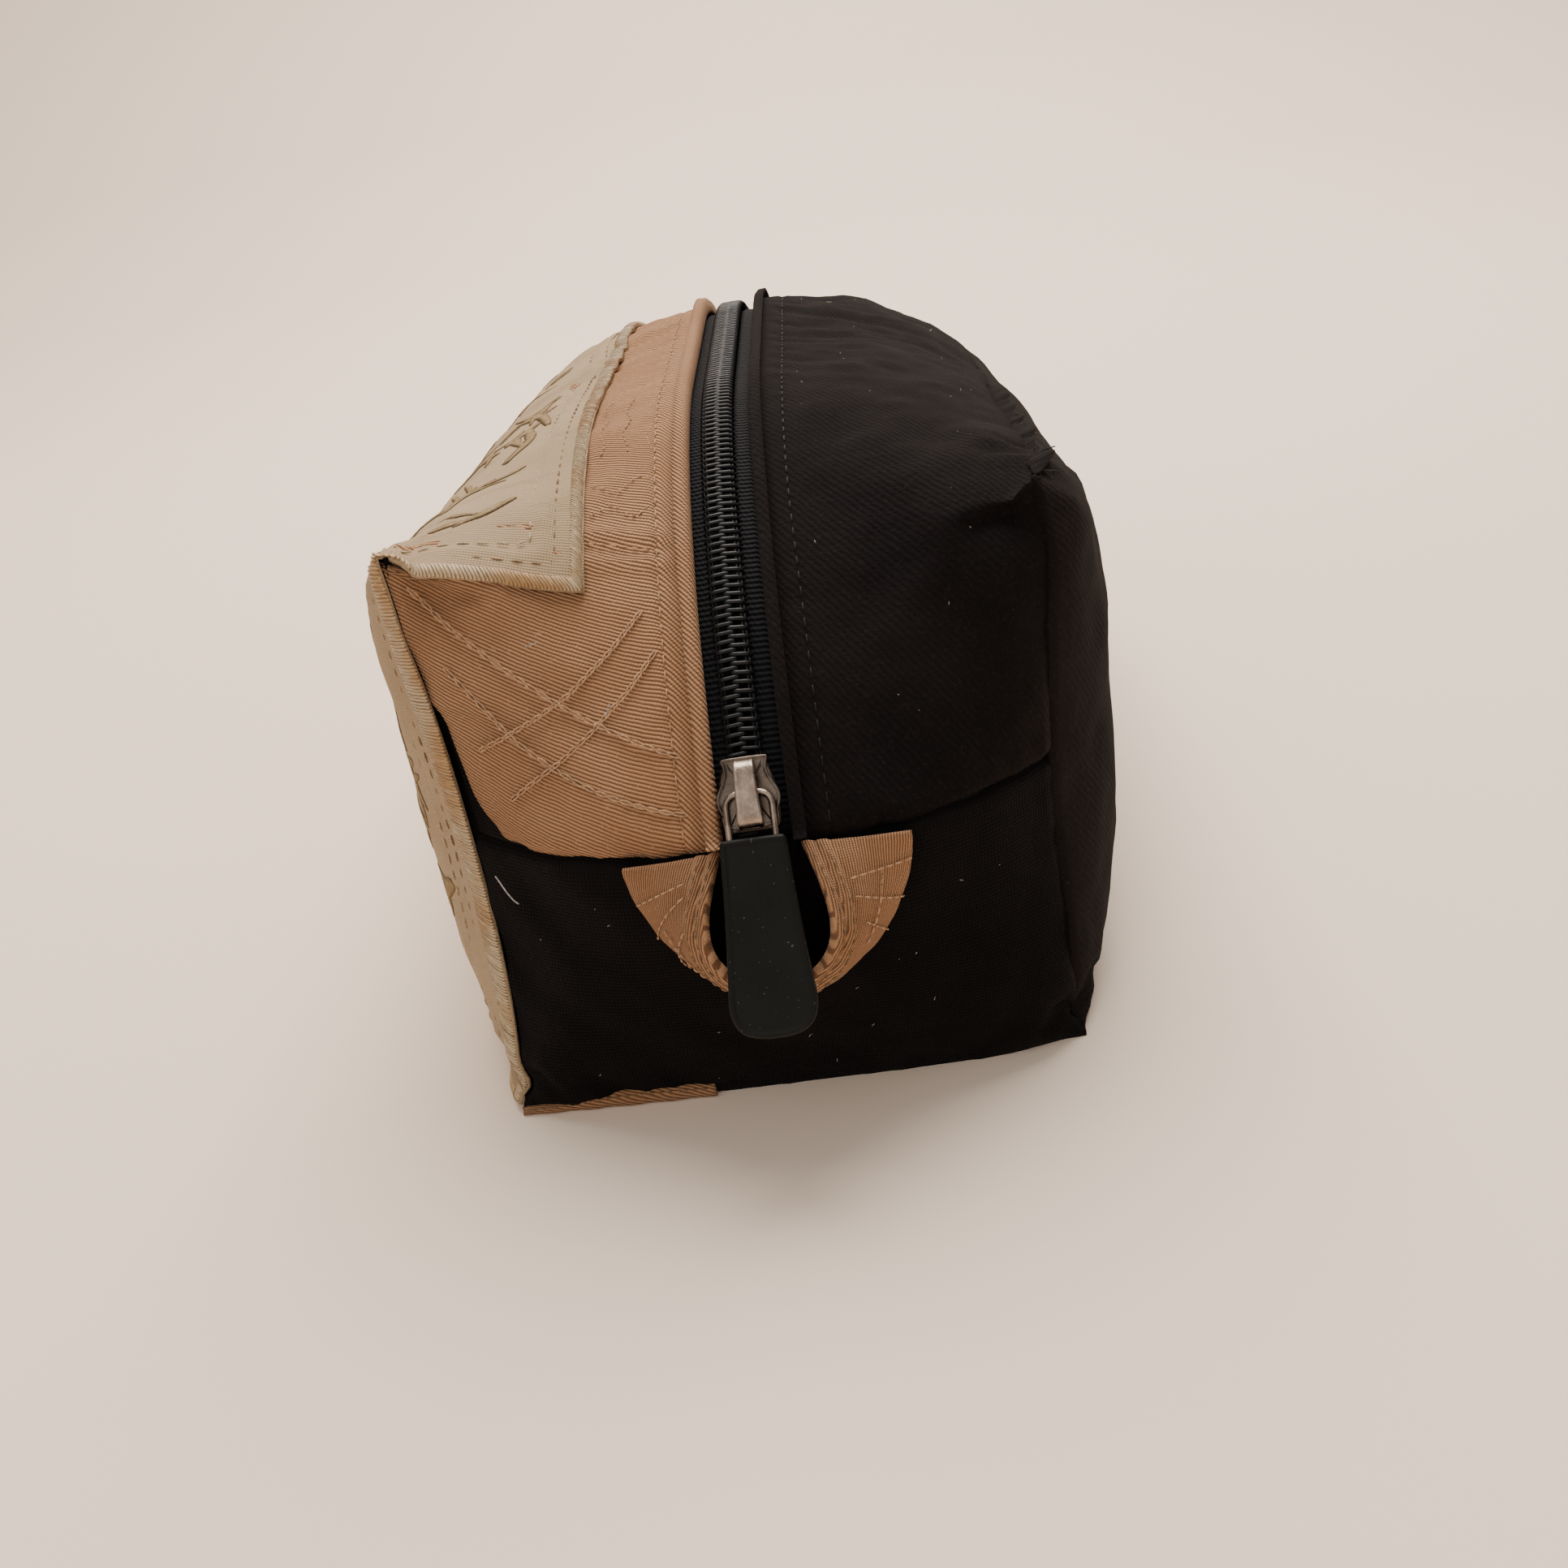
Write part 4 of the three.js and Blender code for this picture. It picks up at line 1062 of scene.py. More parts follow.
def on_cover(places, lift=0.0):
    """Points and normals at (x, along) places on the cover."""
    places = np.asarray(places, float)
    rows, columns = row_of(COVER_ALONG, places[:, 1]), row_of(CROSS, places[:, 0])
    points, normals = [], []
    for row, column in zip(rows, columns):
        around_row = np.array([max(row - 0.3, 0), row, min(row + 0.3, len(COVER_ALONG) - 1)])
        around_column = np.array([max(column - 0.3, 0), column, min(column + 0.3, len(CROSS) - 1)])
        patch_points, patch_normals = read_wall("cover", around_row, around_column)
        points.append(patch_points[1, 1])
        normals.append(patch_normals[1, 1])
    normals = np.array(normals)
    return np.array(points) + normals * lift, normals


def topstitching():
    """The straight row of stitches that holds the hem beside the zip, on each side."""
    for side, key, name in ((-1, "khaki_thread", "hem_stitches_left"),
                            (1, "dark_thread", "hem_stitches_right")):
        stitch_x = side * (FOLD_LINE[side] + 6.75)
        places = resample([(stitch_x, a) for a in np.linspace(2.5, ZIP_LENGTH - 2.5, 60)], 3.1)
        line, normals = on_cover(places, 0.3)
        bundle = Bundle()
        run_stitches(bundle, line, normals, radius=0.16)
        bundle.make(name, key)


topstitching()

# Lines of chain stitch on the left front flap: (x, distance from the front seam), millimetres.
FLAP_LINES = (
    ((-55, 44), (-49, 38.5), (-43, 34), (-36, 29.5), (-29, 25.5), (-20, 21), (-13, 17.5), (-7, 15)),
    ((-52, 31), (-46, 25), (-41, 20), (-34, 15.5), (-27, 12), (-20, 9.5), (-14, 7.5), (-7, 5.5)),
    ((-49, 17), (-43, 20), (-36, 24), (-29, 29), (-21, 37), (-15.5, 44)),
    ((-44, 9), (-38, 13), (-32, 17), (-26, 22), (-19, 29), (-13.5, 36)),
)
# Rows that darn the khaki top beside the zip, the same way.
TOP_LINES = (
    ((-24.5, 58.5), (-20, 58), (-15, 57), (-9, 55.5)),
    ((-24.0, 65), (-20, 68), (-16, 64), (-12, 69), (-8.5, 66)),
    ((-24.0, 74), (-19, 71), (-15, 76), (-11, 73)),
)


def flap_embroidery():
    bundle = Bundle()
    for outline in FLAP_LINES:
        line, normals = on_cover(resample(outline, 2.3), 0.3)
        chain_stitches(bundle, line, normals)
    for outline in TOP_LINES:
        line, normals = on_cover(resample(outline, 2.0), 0.3)
        run_stitches(bundle, line, normals, radius=0.17)
    for place in range(3):
        outline = [(-22.5 + 4.6 * place + 0.7 * math.sin(k * 1.3 + place), 84 + 2.6 * k) for k in range(12)]
        line, normals = on_cover(resample(outline, 1.9), 0.3)
        run_stitches(bundle, line, normals, radius=0.15)
    bundle.make("flap_chain_stitch", "khaki_thread")


flap_embroidery()


def patch_stitching():
    for inset, key in zip(STITCH_ROWS, ("brown_thread", "cream_thread")):
        bundle = Bundle()
        _, around = patch_loop(inset, 4)
        places, _ = patch_loop(inset, round(around / 3.3))
        line, normals = read_patch(places, 0.72)
        run_stitches(bundle, line, normals, radius=0.21)
        bundle.make("patch_running_stitch_" + key, key)


patch_stitching()


# ---------------------------------------------------------------- print on the patch
def ink_stroke(bundle, start, heading, size, width, bend):
    """One tapered brush stroke on the patch, a hair above the cloth. Returns where its twigs may start."""
    steps = 12
    share = np.linspace(0, 1, steps)
    turn = heading + bend * share
    line = start + np.cumsum(np.stack([np.sin(turn), np.cos(turn)], -1), axis=0) * size / steps
    half = width / 2 * (0.25 + np.sin(np.clip(share * 0.9 + 0.1, 0, 1) * math.pi) ** 0.7)
    sideways = np.stack([np.cos(turn), -np.sin(turn)], -1)
    margin = STITCH_ROWS[-1] + 1.5
    inside = ((line > (PATCH_LOW + margin, margin))
              & (line < (PATCH_ACROSS - margin, 2 * PEAK_Y - margin))).all()
    if inside:
        edges = []
        for reach, lift in ((-1, 0.0), (0, 0.04), (1, 0.0), (0, -0.3)):
            places = line + sideways * (half * reach)[:, None]
            places[:, 1] /= 2 * PEAK_Y
            face = patch_rise(places[:, 0], places[:, 1]) + 0.13 + lift
            edges.append(read_patch(places, face[:, None])[0])
        bundle.add(np.stack(edges, 1).reshape(-1, 3), tube_faces(steps, 4, 0))
    return line, turn


def patch_print():
    """Loose twigs of brown ink strewn over the patch, none of them alike."""
    bundle = Bundle()
    draw = np.random.default_rng(29)
    for row in np.arange(13, PATCH_ACROSS - 8, 13.0):
        for along in np.arange(12, 2 * PEAK_Y - 8, 16.0):
            start = np.array([row, along]) + draw.uniform(-5, 5, 2)
            heading = draw.uniform(-1.3, 1.3) + (math.pi if draw.uniform() < 0.4 else 0)
            line, turn = ink_stroke(bundle, start, heading, draw.uniform(13, 22), draw.uniform(1.6, 3.0),
                                    draw.uniform(-0.8, 0.8))
            for twig in range(draw.integers(2, 5)):
                place = draw.integers(2, 10)
                fork = turn[place] + draw.choice((-1, 1)) * draw.uniform(0.5, 1.1)
                ink_stroke(bundle, line[place], fork, draw.uniform(5, 12), draw.uniform(1.1, 2.0),
                           draw.uniform(-0.5, 0.5))
    bundle.make("patch_print", "ink")


patch_print()


# ---------------------------------------------------------------- zip
def along_zip(x, along, rise):
    y, z = zip_point(along, rise)
    return np.stack(np.broadcast_arrays(x, y, z), -1)


def zip_tape_piece(side):
    along = np.linspace(1.4, ZIP_LENGTH - 1.4, 190)
    x = side * np.array([0.7, 1.4, 3.0, 3.5, 4.2, 5.0, 5.8, 7.0, 9.0, 12.0, 14.8])
    rise = np.array([-1.45, -1.45, -1.4, -1.1, -1.25, -1.3, -1.3, -2.6, -2.75, -2.8, -2.8])
    if side < 0:
        x, rise = x[::-1], rise[::-1]
    grid_x, grid_along = np.meshgrid(x, along)
    ripple = 0.07 * soft_noise(grid_x * 3, grid_along, 9, 41 + side)
    outer = along_zip(grid_x, grid_along, 0)
    lowered = along_zip(grid_x, grid_along, -1.0)
    down = lowered - outer
    outer = outer - down * (rise[None] + ripple)[..., None]
    inner = outer + down * 0.5
    name = "left" if side < 0 else "right"
    piece = shell("tape_" + name, outer, inner, np.stack([grid_x, grid_along], -1), flip=True)
    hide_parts("zip_tape_" + name)
    dress(piece, "tape")


TOOTH_PITCH = 1.69


def zip_coil_piece(side):
    """One side of the chain: a turn of coil for each tooth, meshing with the other side."""
    bundle = Bundle()
    start = 2.2 + (TOOTH_PITCH / 2 if side > 0 else 0)
    for along in np.arange(start, ZIP_LENGTH - 2.2, TOOTH_PITCH):
        share = np.linspace(0, 1, 9)
        reach = side * mix(3.15, -0.75, share)
        rise = (0.98 - 1.2 * np.clip(1 - share / 0.3, 0, 1) ** 2
                - 0.5 * np.clip((share - 0.7) / 0.3, 0, 1) ** 2)
        drift = (share - 0.5) * 0.34
        path = along_zip(reach, along + drift, 0)
        y, z = zip_point(along + drift, 1.0)
        up = np.stack(np.broadcast_arrays(0.0, y, z), -1) - along_zip(0, along + drift, 0)
        path = path + up * rise[:, None]
        thickness = 0.42 * np.array([0.8, 1, 1, 1, 1, 1, 1.12, 1.2, 0.75])
        bundle.add(*tube(path, thickness, 7, up[4]))
    name = "left" if side < 0 else "right"
    piece = bundle.make("coil_" + name, "coil")
    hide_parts("zip_coil_" + name)


def coil_sewing(side):
    """The thread that holds the coil to its tape."""
    bundle = Bundle()
    for offset in (2.15, 2.75):
        for along in np.arange(2.5, ZIP_LENGTH - 4, TOOTH_PITCH):
            steps = along + np.array([0, 0.4, 0.85, 1.3, 1.69])
            rise = np.array([0.35, 0.62, 0.7, 0.62, 0.35]) + (2.6 - offset) * 0.35
            y, z = zip_point(steps, 0)
            y_up, z_up = zip_point(steps, 1.0)
            path = np.stack([np.full(5, side * offset), y + (y_up - y) * rise, z + (z_up - z) * rise], -1)
            bundle.add(*tube(path, 0.15, 5, (0, y_up[2] - y[2], z_up[2] - z[2])))
    bundle.make("coil_thread_" + ("left" if side < 0 else "right"), "dark_thread")


for side in (-1, 1):
    zip_tape_piece(side)
    zip_coil_piece(side)
    coil_sewing(side)


# ---------------------------------------------------------------- slider and pull, built flat
SLIDER_TILT = float(zip_tilt(SLIDER_ALONG))
slider_y, slider_z = (float(v) for v in zip_point(SLIDER_ALONG))


def onto_zip(points):
    """From the slider's own place (y to the back, z off the cover) to the pouch's."""
    points = np.asarray(points, float).reshape(-1, 3)
    c, s = math.cos(SLIDER_TILT), math.sin(SLIDER_TILT)
    return np.stack([points[:, 0], slider_y + points[:, 1] * c - points[:, 2] * s,
                     slider_z + points[:, 1] * s + points[:, 2] * c], -1)


def smooth_outline(corners, rounds=3):
    """Corner-cutting turns a few corners into a smooth closed outline."""
    line = np.array(corners, float)
    for _ in range(rounds):
        following = np.roll(line, -1, axis=0)
        line = np.stack([line * 0.75 + following * 0.25, line * 0.25 + following * 0.75], 1).reshape(-1, 2)
    return line


def slab(name, outline, layers, body, key, crown=0.0):
    """Closed slab: the outline repeated at each (height, inset) layer, capped by a fan at both ends."""
    outline = np.asarray(outline, float)
    middle = outline.mean(0)
    tangent = np.roll(outline, -1, axis=0) - np.roll(outline, 1, axis=0)
    outward = np.stack([tangent[:, 1], -tangent[:, 0]], -1)
    outward /= np.linalg.norm(outward, axis=1, keepdims=True)
    if np.sum(outward * (outline - middle)) < 0:
        outward = -outward
    count = len(outline)
    points, faces = [], []
    for height, inset in layers:
        ring = outline - outward * inset
        points.extend(np.column_stack([ring, np.full(count, height)]))
    for layer in range(len(layers) - 1):
        for k in range(count):
            a, b = layer * count + k, layer * count + (k + 1) % count
            faces.append((a, b, b + count, a + count))
    last = (len(layers) - 1) * count
    points.append([*middle, layers[0][0]])
    points.append([*middle, layers[-1][0] + crown])
    for k in range(count):
        faces.append((len(points) - 2, (k + 1) % count, k))
        faces.append((len(points) - 1, last + k, last + (k + 1) % count))
    piece = new_piece(name, onto_zip(points), faces, body)
    dress(piece, key)
    return piece


def weighted(piece, angle=32):
    """Flat faces stay flat and rounded edges stay smooth."""
    for polygon in piece.data.polygons:
        polygon.use_smooth = True
    edges = piece.modifiers.new("edges", "EDGE_SPLIT")
    edges.split_angle = math.radians(angle)


def slider_metal():
    """The modelled slider body keeps its shape; a rimmed plate with waisted sides lies on top of it."""
    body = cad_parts["slider_body"]
    # The body and its top plate get the darkened copy of the nickel: painted shade.
    dress(body, "nickel_body_painted_shade")
    bevel = body.modifiers.new("soft edges", "BEVEL")
    bevel.width = 0.00022
    bevel.segments = 2
    bevel.limit_method = "ANGLE"
    bevel.angle_limit = math.radians(40)
    dress(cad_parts["lock_pin"], "nickel")
    half = [(3.7, 6.5), (4.2, 6.1), (3.75, 5.0), (3.8, 3.4), (4.6, 1.8),
            (5.45, 0.2), (5.55, -1.2), (5.0, -2.8),
            (4.2, -4.4), (3.6, -6.0)]
    corners = half + [(-x, y) for x, y in reversed(half)]
    layers = ((1.7, 0.25), (1.8, 0.05), (2.0, 0.0), (2.95, 0.0),
              (3.12, 0.1), (3.15, 0.3), (3.02, 0.5), (2.96, 0.9))
    slab("slider_plate", smooth_outline(corners, 2), layers, "slider", "nickel_body_painted_shade")


slider_metal()


def slider_cap_piece():
    """The arched cap over the ring bar: a side profile swept across, rounded along both edges."""
    inside, top, reach, foot = 4.75, 5.9, 5.9, 3.1
    profile = [(-reach, foot), (-reach + 1.4, foot), (-reach + 2.0, inside), (reach - 2.0, inside),
               (reach - 1.4, foot), (reach, foot), (reach - 0.1, inside - 0.3), (reach - 1.4, top - 0.1),
               (0.0, top + 0.15), (-reach + 1.4, top - 0.1), (-reach + 0.1, inside - 0.3)]
    line = smooth_outline(profile, 2)
    middle = line.mean(0)
    points, faces = [], []
    layers = ((-1.95, 0.35), (-1.85, 0.1), (-1.6, 0.0), (-1.2, 0.12), (1.2, 0.12), (1.6, 0.0), (1.85, 0.1),
              (1.95, 0.35))
    for x, inset in layers:
        tangent = np.roll(line, -1, axis=0) - np.roll(line, 1, axis=0)
        outward = np.stack([tangent[:, 1], -tangent[:, 0]], -1)
        outward /= np.linalg.norm(outward, axis=1, keepdims=True)
        ring = line - outward * inset
        widening = 1 + 0.12 * (-ring[:, 0] / reach)
        points.extend(np.column_stack([x * widening, ring]))
    count = len(line)
    for layer in range(len(layers) - 1):
        for k in range(count):
            a, b = layer * count + k, layer * count + (k + 1) % count
            faces.append((a, b, b + count, a + count))
    faces.append(tuple(reversed(range(count))))
    faces.append(tuple((len(layers) - 1) * count + k for k in range(count)))
    piece = new_piece("cap", onto_zip(points), faces, "slider")
    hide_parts("slider_cap")
    dress(piece, "nickel")
    weighted(piece, 50)


slider_cap_piece()

RING_HALF, RING_BACK, RING_FRONT, WIRE = 3.95, 0.2, -9.6, 0.6


def pull_ring_piece():
    corner = 2.2
    path = []
    for cx, cy, begin in ((RING_HALF - corner, RING_BACK - corner, 0),
                          (-RING_HALF + corner, RING_BACK - corner, 90),
                          (-RING_HALF + corner, RING_FRONT + corner, 180),
                          (RING_HALF - corner, RING_FRONT + corner, 270)):
        for step in range(7):
            angle = math.radians(begin + step * 15)
            path.append((cx + corner * math.cos(angle), cy + corner * math.sin(angle), BAR_RISE))
    path = np.array(path)
    forward = np.roll(path, -1, axis=0) - np.roll(path, 1, axis=0)
    forward /= np.linalg.norm(forward, axis=1, keepdims=True)
    across = np.cross(forward, (0, 0, 1))
    sides = 12
    angles = np.arange(sides) * 2 * math.pi / sides
    points = path[:, None] + WIRE * (np.cos(angles)[None, :, None] * across[:, None]
                                     + np.sin(angles)[None, :, None] * np.array([0, 0, 1.0]))
    faces = []
    for ring in range(len(path)):
        following = (ring + 1) % len(path)
        for k in range(sides):
            after = (k + 1) % sides
            faces.append((ring * sides + k, ring * sides + after,
                          following * sides + after, following * sides + k))
    piece = new_piece("ring", onto_zip(points.reshape(-1, 3)), faces, "pull")
    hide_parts("pull_ring")
    dress(piece, "nickel")


pull_ring_piece()

TAB_HEAD, TAB_FOOT = -7.6, -40.4
TAB_HEAD_HALF, TAB_FOOT_HALF = 5.6, 7.3


def pull_tab_piece():
    """Smooth moulded tab with a raised rounded rim, closed round the far bar of the ring."""
    corners = [(-TAB_HEAD_HALF + 0.1, TAB_HEAD), (-TAB_HEAD_HALF + 1, TAB_HEAD + 0.2),
               (TAB_HEAD_HALF - 1, TAB_HEAD + 0.2), (TAB_HEAD_HALF - 0.1, TAB_HEAD),
               (TAB_HEAD_HALF + 0.1, TAB_HEAD - 1), (TAB_HEAD_HALF + 0.4, TAB_HEAD - 9),
                (TAB_FOOT_HALF - 0.2, TAB_FOOT + 9),
               (TAB_FOOT_HALF + 0.3, TAB_FOOT + 4.6), (TAB_FOOT_HALF - 1.0, TAB_FOOT + 0.9),
               (TAB_FOOT_HALF - 4.4, TAB_FOOT - 0.5), (-TAB_FOOT_HALF + 4.4, TAB_FOOT - 0.5),
               (-TAB_FOOT_HALF + 1.0, TAB_FOOT + 0.9),
               (-TAB_FOOT_HALF - 0.3, TAB_FOOT + 4.6), (-TAB_FOOT_HALF + 0.2, TAB_FOOT + 9),
               (-TAB_HEAD_HALF - 0.4, TAB_HEAD - 9), (-TAB_HEAD_HALF - 0.1, TAB_HEAD - 1)]
    outline = smooth_outline(corners, 4)
    low, high = BAR_RISE - 0.6, BAR_RISE + 1.7
    layers = ((low, 0.5), (low + 0.15, 0.15), (low + 0.45, 0.0), (high - 0.5, 0.0), (high - 0.16, 0.14),
              (high, 0.5), (high + 0.02, 0.75), (high - 0.12, 0.95), (high - 0.14, 1.5))
    piece = slab("tab", outline, layers, "pull", "rubber", crown=0.12)
    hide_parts("pull_tab")
    weighted(piece, 60)


pull_tab_piece()


# ---------------------------------------------------------------- grab tab
GRAB_OUTER, GRAB_INNER, GRAB_SHIFT = 25.0, 7.0, 1.5
GRAB_DROP, GRAB_LIP_RISE, GRAB_REACH, GRAB_FOOT_REACH, GRAB_SWELL = 28.0, 3.0, 11.0, 6.0, 4.0
GRAB_HEM = 0.74           # the hem begins this far across the band


def grab_edges(share):
    """The band's edge on the wall, and its free edge round the finger hole."""
    turn = math.pi * share
    dip = np.sin(turn) ** 1.2
    wall = np.stack([GRAB_SHIFT - GRAB_OUTER * np.cos(turn), -HALF_LENGTH - 0.4 - 0.8 * dip,
                     SEAM_Z - 0.7 - GRAB_DROP * dip], -1)
    depth = 1 - np.abs(2 * share - 1)
    hole = (GRAB_INNER + GRAB_SWELL * np.sin(math.pi * depth)) * (1 - depth ** 3)
    reach = GRAB_FOOT_REACH * depth + (GRAB_REACH - GRAB_FOOT_REACH / 2) * np.sin(math.pi * depth)
    lip = np.stack([GRAB_SHIFT / 2 + np.sign(share - 0.5) * hole, -HALF_LENGTH - 0.5 - reach,
                    SEAM_Z - 0.7 - (GRAB_DROP - GRAB_LIP_RISE) * depth], -1)
    return wall, lip


def grab_surface(share, across):
    """Points and outward normals on the band: `share` along it, `across` from wall edge to free edge."""
    wall, lip = grab_edges(share)
    points = mix(wall[:, None], lip[:, None], across[None, :, None])
    ahead_wall, ahead_lip = grab_edges(np.clip(share + 0.02, 0, 1))
    behind_wall, behind_lip = grab_edges(np.clip(share - 0.02, 0, 1))
    along = mix((ahead_wall - behind_wall)[:, None], (ahead_lip - behind_lip)[:, None], across[None, :, None])
    over = np.broadcast_to((lip - wall)[:, None], points.shape)
    normals = np.cross(along, over)
    normals /= np.maximum(np.linalg.norm(normals, axis=2, keepdims=True), 1e-6)
    belly = np.sin(across * math.pi)[None, :] * np.sin(share * math.pi)[:, None]
    return points + normals * (1.8 * belly)[..., None], normals


def grab_tab_piece():
    share = np.linspace(0.0, 1.0, 91)
    across = np.concatenate([np.linspace(0, GRAB_HEM - 0.03, 18),
                             GRAB_HEM + np.array([
                                        -0.015, 0.0, 0.015, 0.03, 0.07, 0.12, 0.135, 0.15, 0.2, 0.24, 0.26])])
    points, normals = grab_surface(share, across)
    hem = 0.2 + 1.1 * np.clip((across - GRAB_HEM) / 0.03, 0, 1) - 1.0 * bell(across - GRAB_HEM - 0.135, 0.018)
    hem = hem - 0.6 * bell(across - 1.0, 0.02) - 0.4 * bell(across, 0.03)
    rise = 0.9 + np.broadcast_to(hem, points.shape[:2])
    rise = rise + 0.2 * soft_noise(*np.meshgrid(across * 20, share * 70), 9, 51)
    outer = points + normals * rise[..., None]
    inner = points + normals * 0.05
    flat = np.stack(np.meshgrid(across * 18, share * 66), -1)
    piece = shell("grab_band", outer, inner, flat, flip=False)
    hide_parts("grab_tab")
    dress(piece, "khaki_fine")


def grab_stitch_line(bundle, places, stitch):
    """Run a stitch along (share, across) places on the grab tab."""
    places = np.asarray(places, float)
    points, ups = [], []
    for share, across in places:
        near, up = grab_surface(np.array([share]), np.array([across]))
        on_hem = 1.35 if across > GRAB_HEM + 0.02 else 0.5
        points.append(near[0, 0] + up[0, 0] * (1.0 + on_hem))
        ups.append(up[0, 0])
    stitch(bundle, np.array(points), np.array(ups))


def grab_stitches():
    hem, chains = Bundle(), Bundle()
    for across in (GRAB_HEM + 0.06, GRAB_HEM + 0.2):
        for ends in ((0.02, 0.46), (0.54, 0.98)):
            places = [(share, across) for share in np.linspace(*ends, 18)]
            grab_stitch_line(hem, places, lambda *a: run_stitches(*a, radius=0.15))
    for start, end in (((0.10, 0.05), (0.06, 0.7)), ((0.19, 0.03), (0.09, 0.72)),
                      ((0.28, 0.05), (0.17, 0.72)),
                       ((0.16, 0.35), (0.3, 0.6)), ((0.93, 0.02), (0.9, 0.72)), ((0.84, 0.03), (0.86, 0.72)),
                       ((0.76, 0.05), (0.8, 0.6)), ((0.9, 0.35), (0.74, 0.5))):
        steps = np.linspace(0, 1, 8)
        places = [(mix(start[0], end[0], t), mix(start[1], end[1], t)) for t in steps]
        grab_stitch_line(chains, places, lambda *a: run_stitches(*a, radius=0.19, share=0.8))
    hem.make("grab_hem_stitches", "brown_thread")
    chains.make("grab_chain_stitch", "khaki_thread")


grab_tab_piece()
grab_stitches()


# ---------------------------------------------------------------- small things at the edges
def foot_edge():
    """The hemmed khaki edge that stands proud along the front of the base, left of the middle."""
    x = np.linspace(-FOOT_WIDTH / 2 + 0.3, -FOLLOW - 1.0, 46)
    share = np.linspace(0, 1, len(x))
    height = mix(0.9, 3.9, np.clip(share / 0.5, 0, 1) ** 0.7)
    height = height - 0.5 * bell(share - 1.0, 0.15)
    front, _ = read_wall("front", np.array([0.0, 0.5, 1.0]), row_of(CROSS, x * HALF_WIDTH / (FOOT_WIDTH / 2)))
    wall_y = front[0, :, 1]
    section = [(-0.9, 0.03), (-1.6, 0.12), (-1.8, 0.4), (-1.65, 0.72), (-1.35, 0.92), (-0.8, 1.0),
               (0.3, 0.97), (0.7, 0.5), (0.6, 0.05)]
    rings = []
    for place, y, tall in zip(x, wall_y, height):
        wobble = 0.12 * math.sin(place * 0.8)
        rings.append([(place, y + dy * (0.75 + 0.08 * tall) + wobble * (dz > 0.1), 0.12 + dz * tall)
                      for dy, dz in section])
    points = np.array(rings)
    flat = np.stack(np.meshgrid(np.arange(len(section)) * 1.0, x), -1)
    piece = new_piece("foot_hem", points.reshape(-1, 3), tube_faces(len(x), len(section), 0), cloth=flat)
    dress(piece, "khaki_dark")
    stitches = Bundle()
    line = points[2:-1:2, 3] + np.array([0, -0.12, 0.1])
    run_stitches(stitches, line, np.tile((0.0, -1.0, 0.1), (len(line), 1)), radius=0.16)
    stitches.make("foot_hem_stitches", "brown_thread")


def loose_thread(bundle, start, steps, radius=0.1):
    """A stray thread: a start point and the steps between the bends that follow."""
    line = np.cumsum(np.vstack([start, steps]), axis=0)
    smooth = line
    for _ in range(3):
        mid = (smooth[:-1] + smooth[1:]) / 2
        smooth = np.vstack([smooth[:1], mid, smooth[-1:]])
    bundle.add(*tube(resample(smooth, 0.6), radius, 5, (0.3, 0.2, 0.9)))


def cover_spot(x, along, lift):
    points, _ = on_cover([(x, along)], lift)
    return points[0]


def lint_and_frays():
    """Pale lint caught on the cloth, and black threads that fray out of the seams."""
    lint, frays = Bundle(), Bundle()
    draw = np.random.default_rng(83)
    loose_thread(lint, (-46.5, -HALF_LENGTH + 3.0, SEAM_Z - 1.0),
                 [(1.5, -1.6, -1.6), (0.6, -1.0, -2.0), (1.6, -0.7, -0.6)], 0.12)
    loose_thread(lint, cover_spot(-36, 37, 0.6), [(1.0, -0.6, 0.3), (1.2, 0.2, 0.3)], 0.11)
    loose_thread(lint, cover_spot(-23, 25, 0.6), [(0.5, 0.4, 0.9), (0.4, 0.5, 0.9)], 0.1)
    for _ in range(26):
        place = cover_spot(draw.uniform(16, 52), draw.uniform(10, ZIP_LENGTH - 30), 0.35)
        loose_thread(lint, place, draw.normal(0, 0.28, (2, 3)), 0.06)
    for _ in range(16):
        x, z = draw.uniform(-44, 46), draw.uniform(5, SEAM_Z - 6)
        y = read_wall("front", row_of(LOW_Z, np.array([z - 1, z, z + 1])),
                      row_of(CROSS, np.array([x - 1, x, x + 1])))[0][1, 1, 1]
        loose_thread(lint, (x, y - 0.75, z), draw.normal(0, 0.25, (2, 3)), 0.06)
    for _ in range(14):
        fraction = draw.uniform(0.02, 0.36)
        row = FRACTION[np.searchsorted(FRACTION, fraction)] * (len(RIDGE_Y) - 1)
        near = walls["right"][len(WALL_Z) - 1, int(row)]
        reach = draw.uniform(0.6, 1.8)
        loose_thread(frays, near + draw.normal(0, 0.4, 3), np.array([[reach, 0, 0.5], [reach * 0.5, 0, -0.8]])
                     + draw.normal(0, 0.5, (2, 3)), 0.12)
    lint.make("lint_threads", "lint")
    frays.make("ridge_frays", "dark_thread")


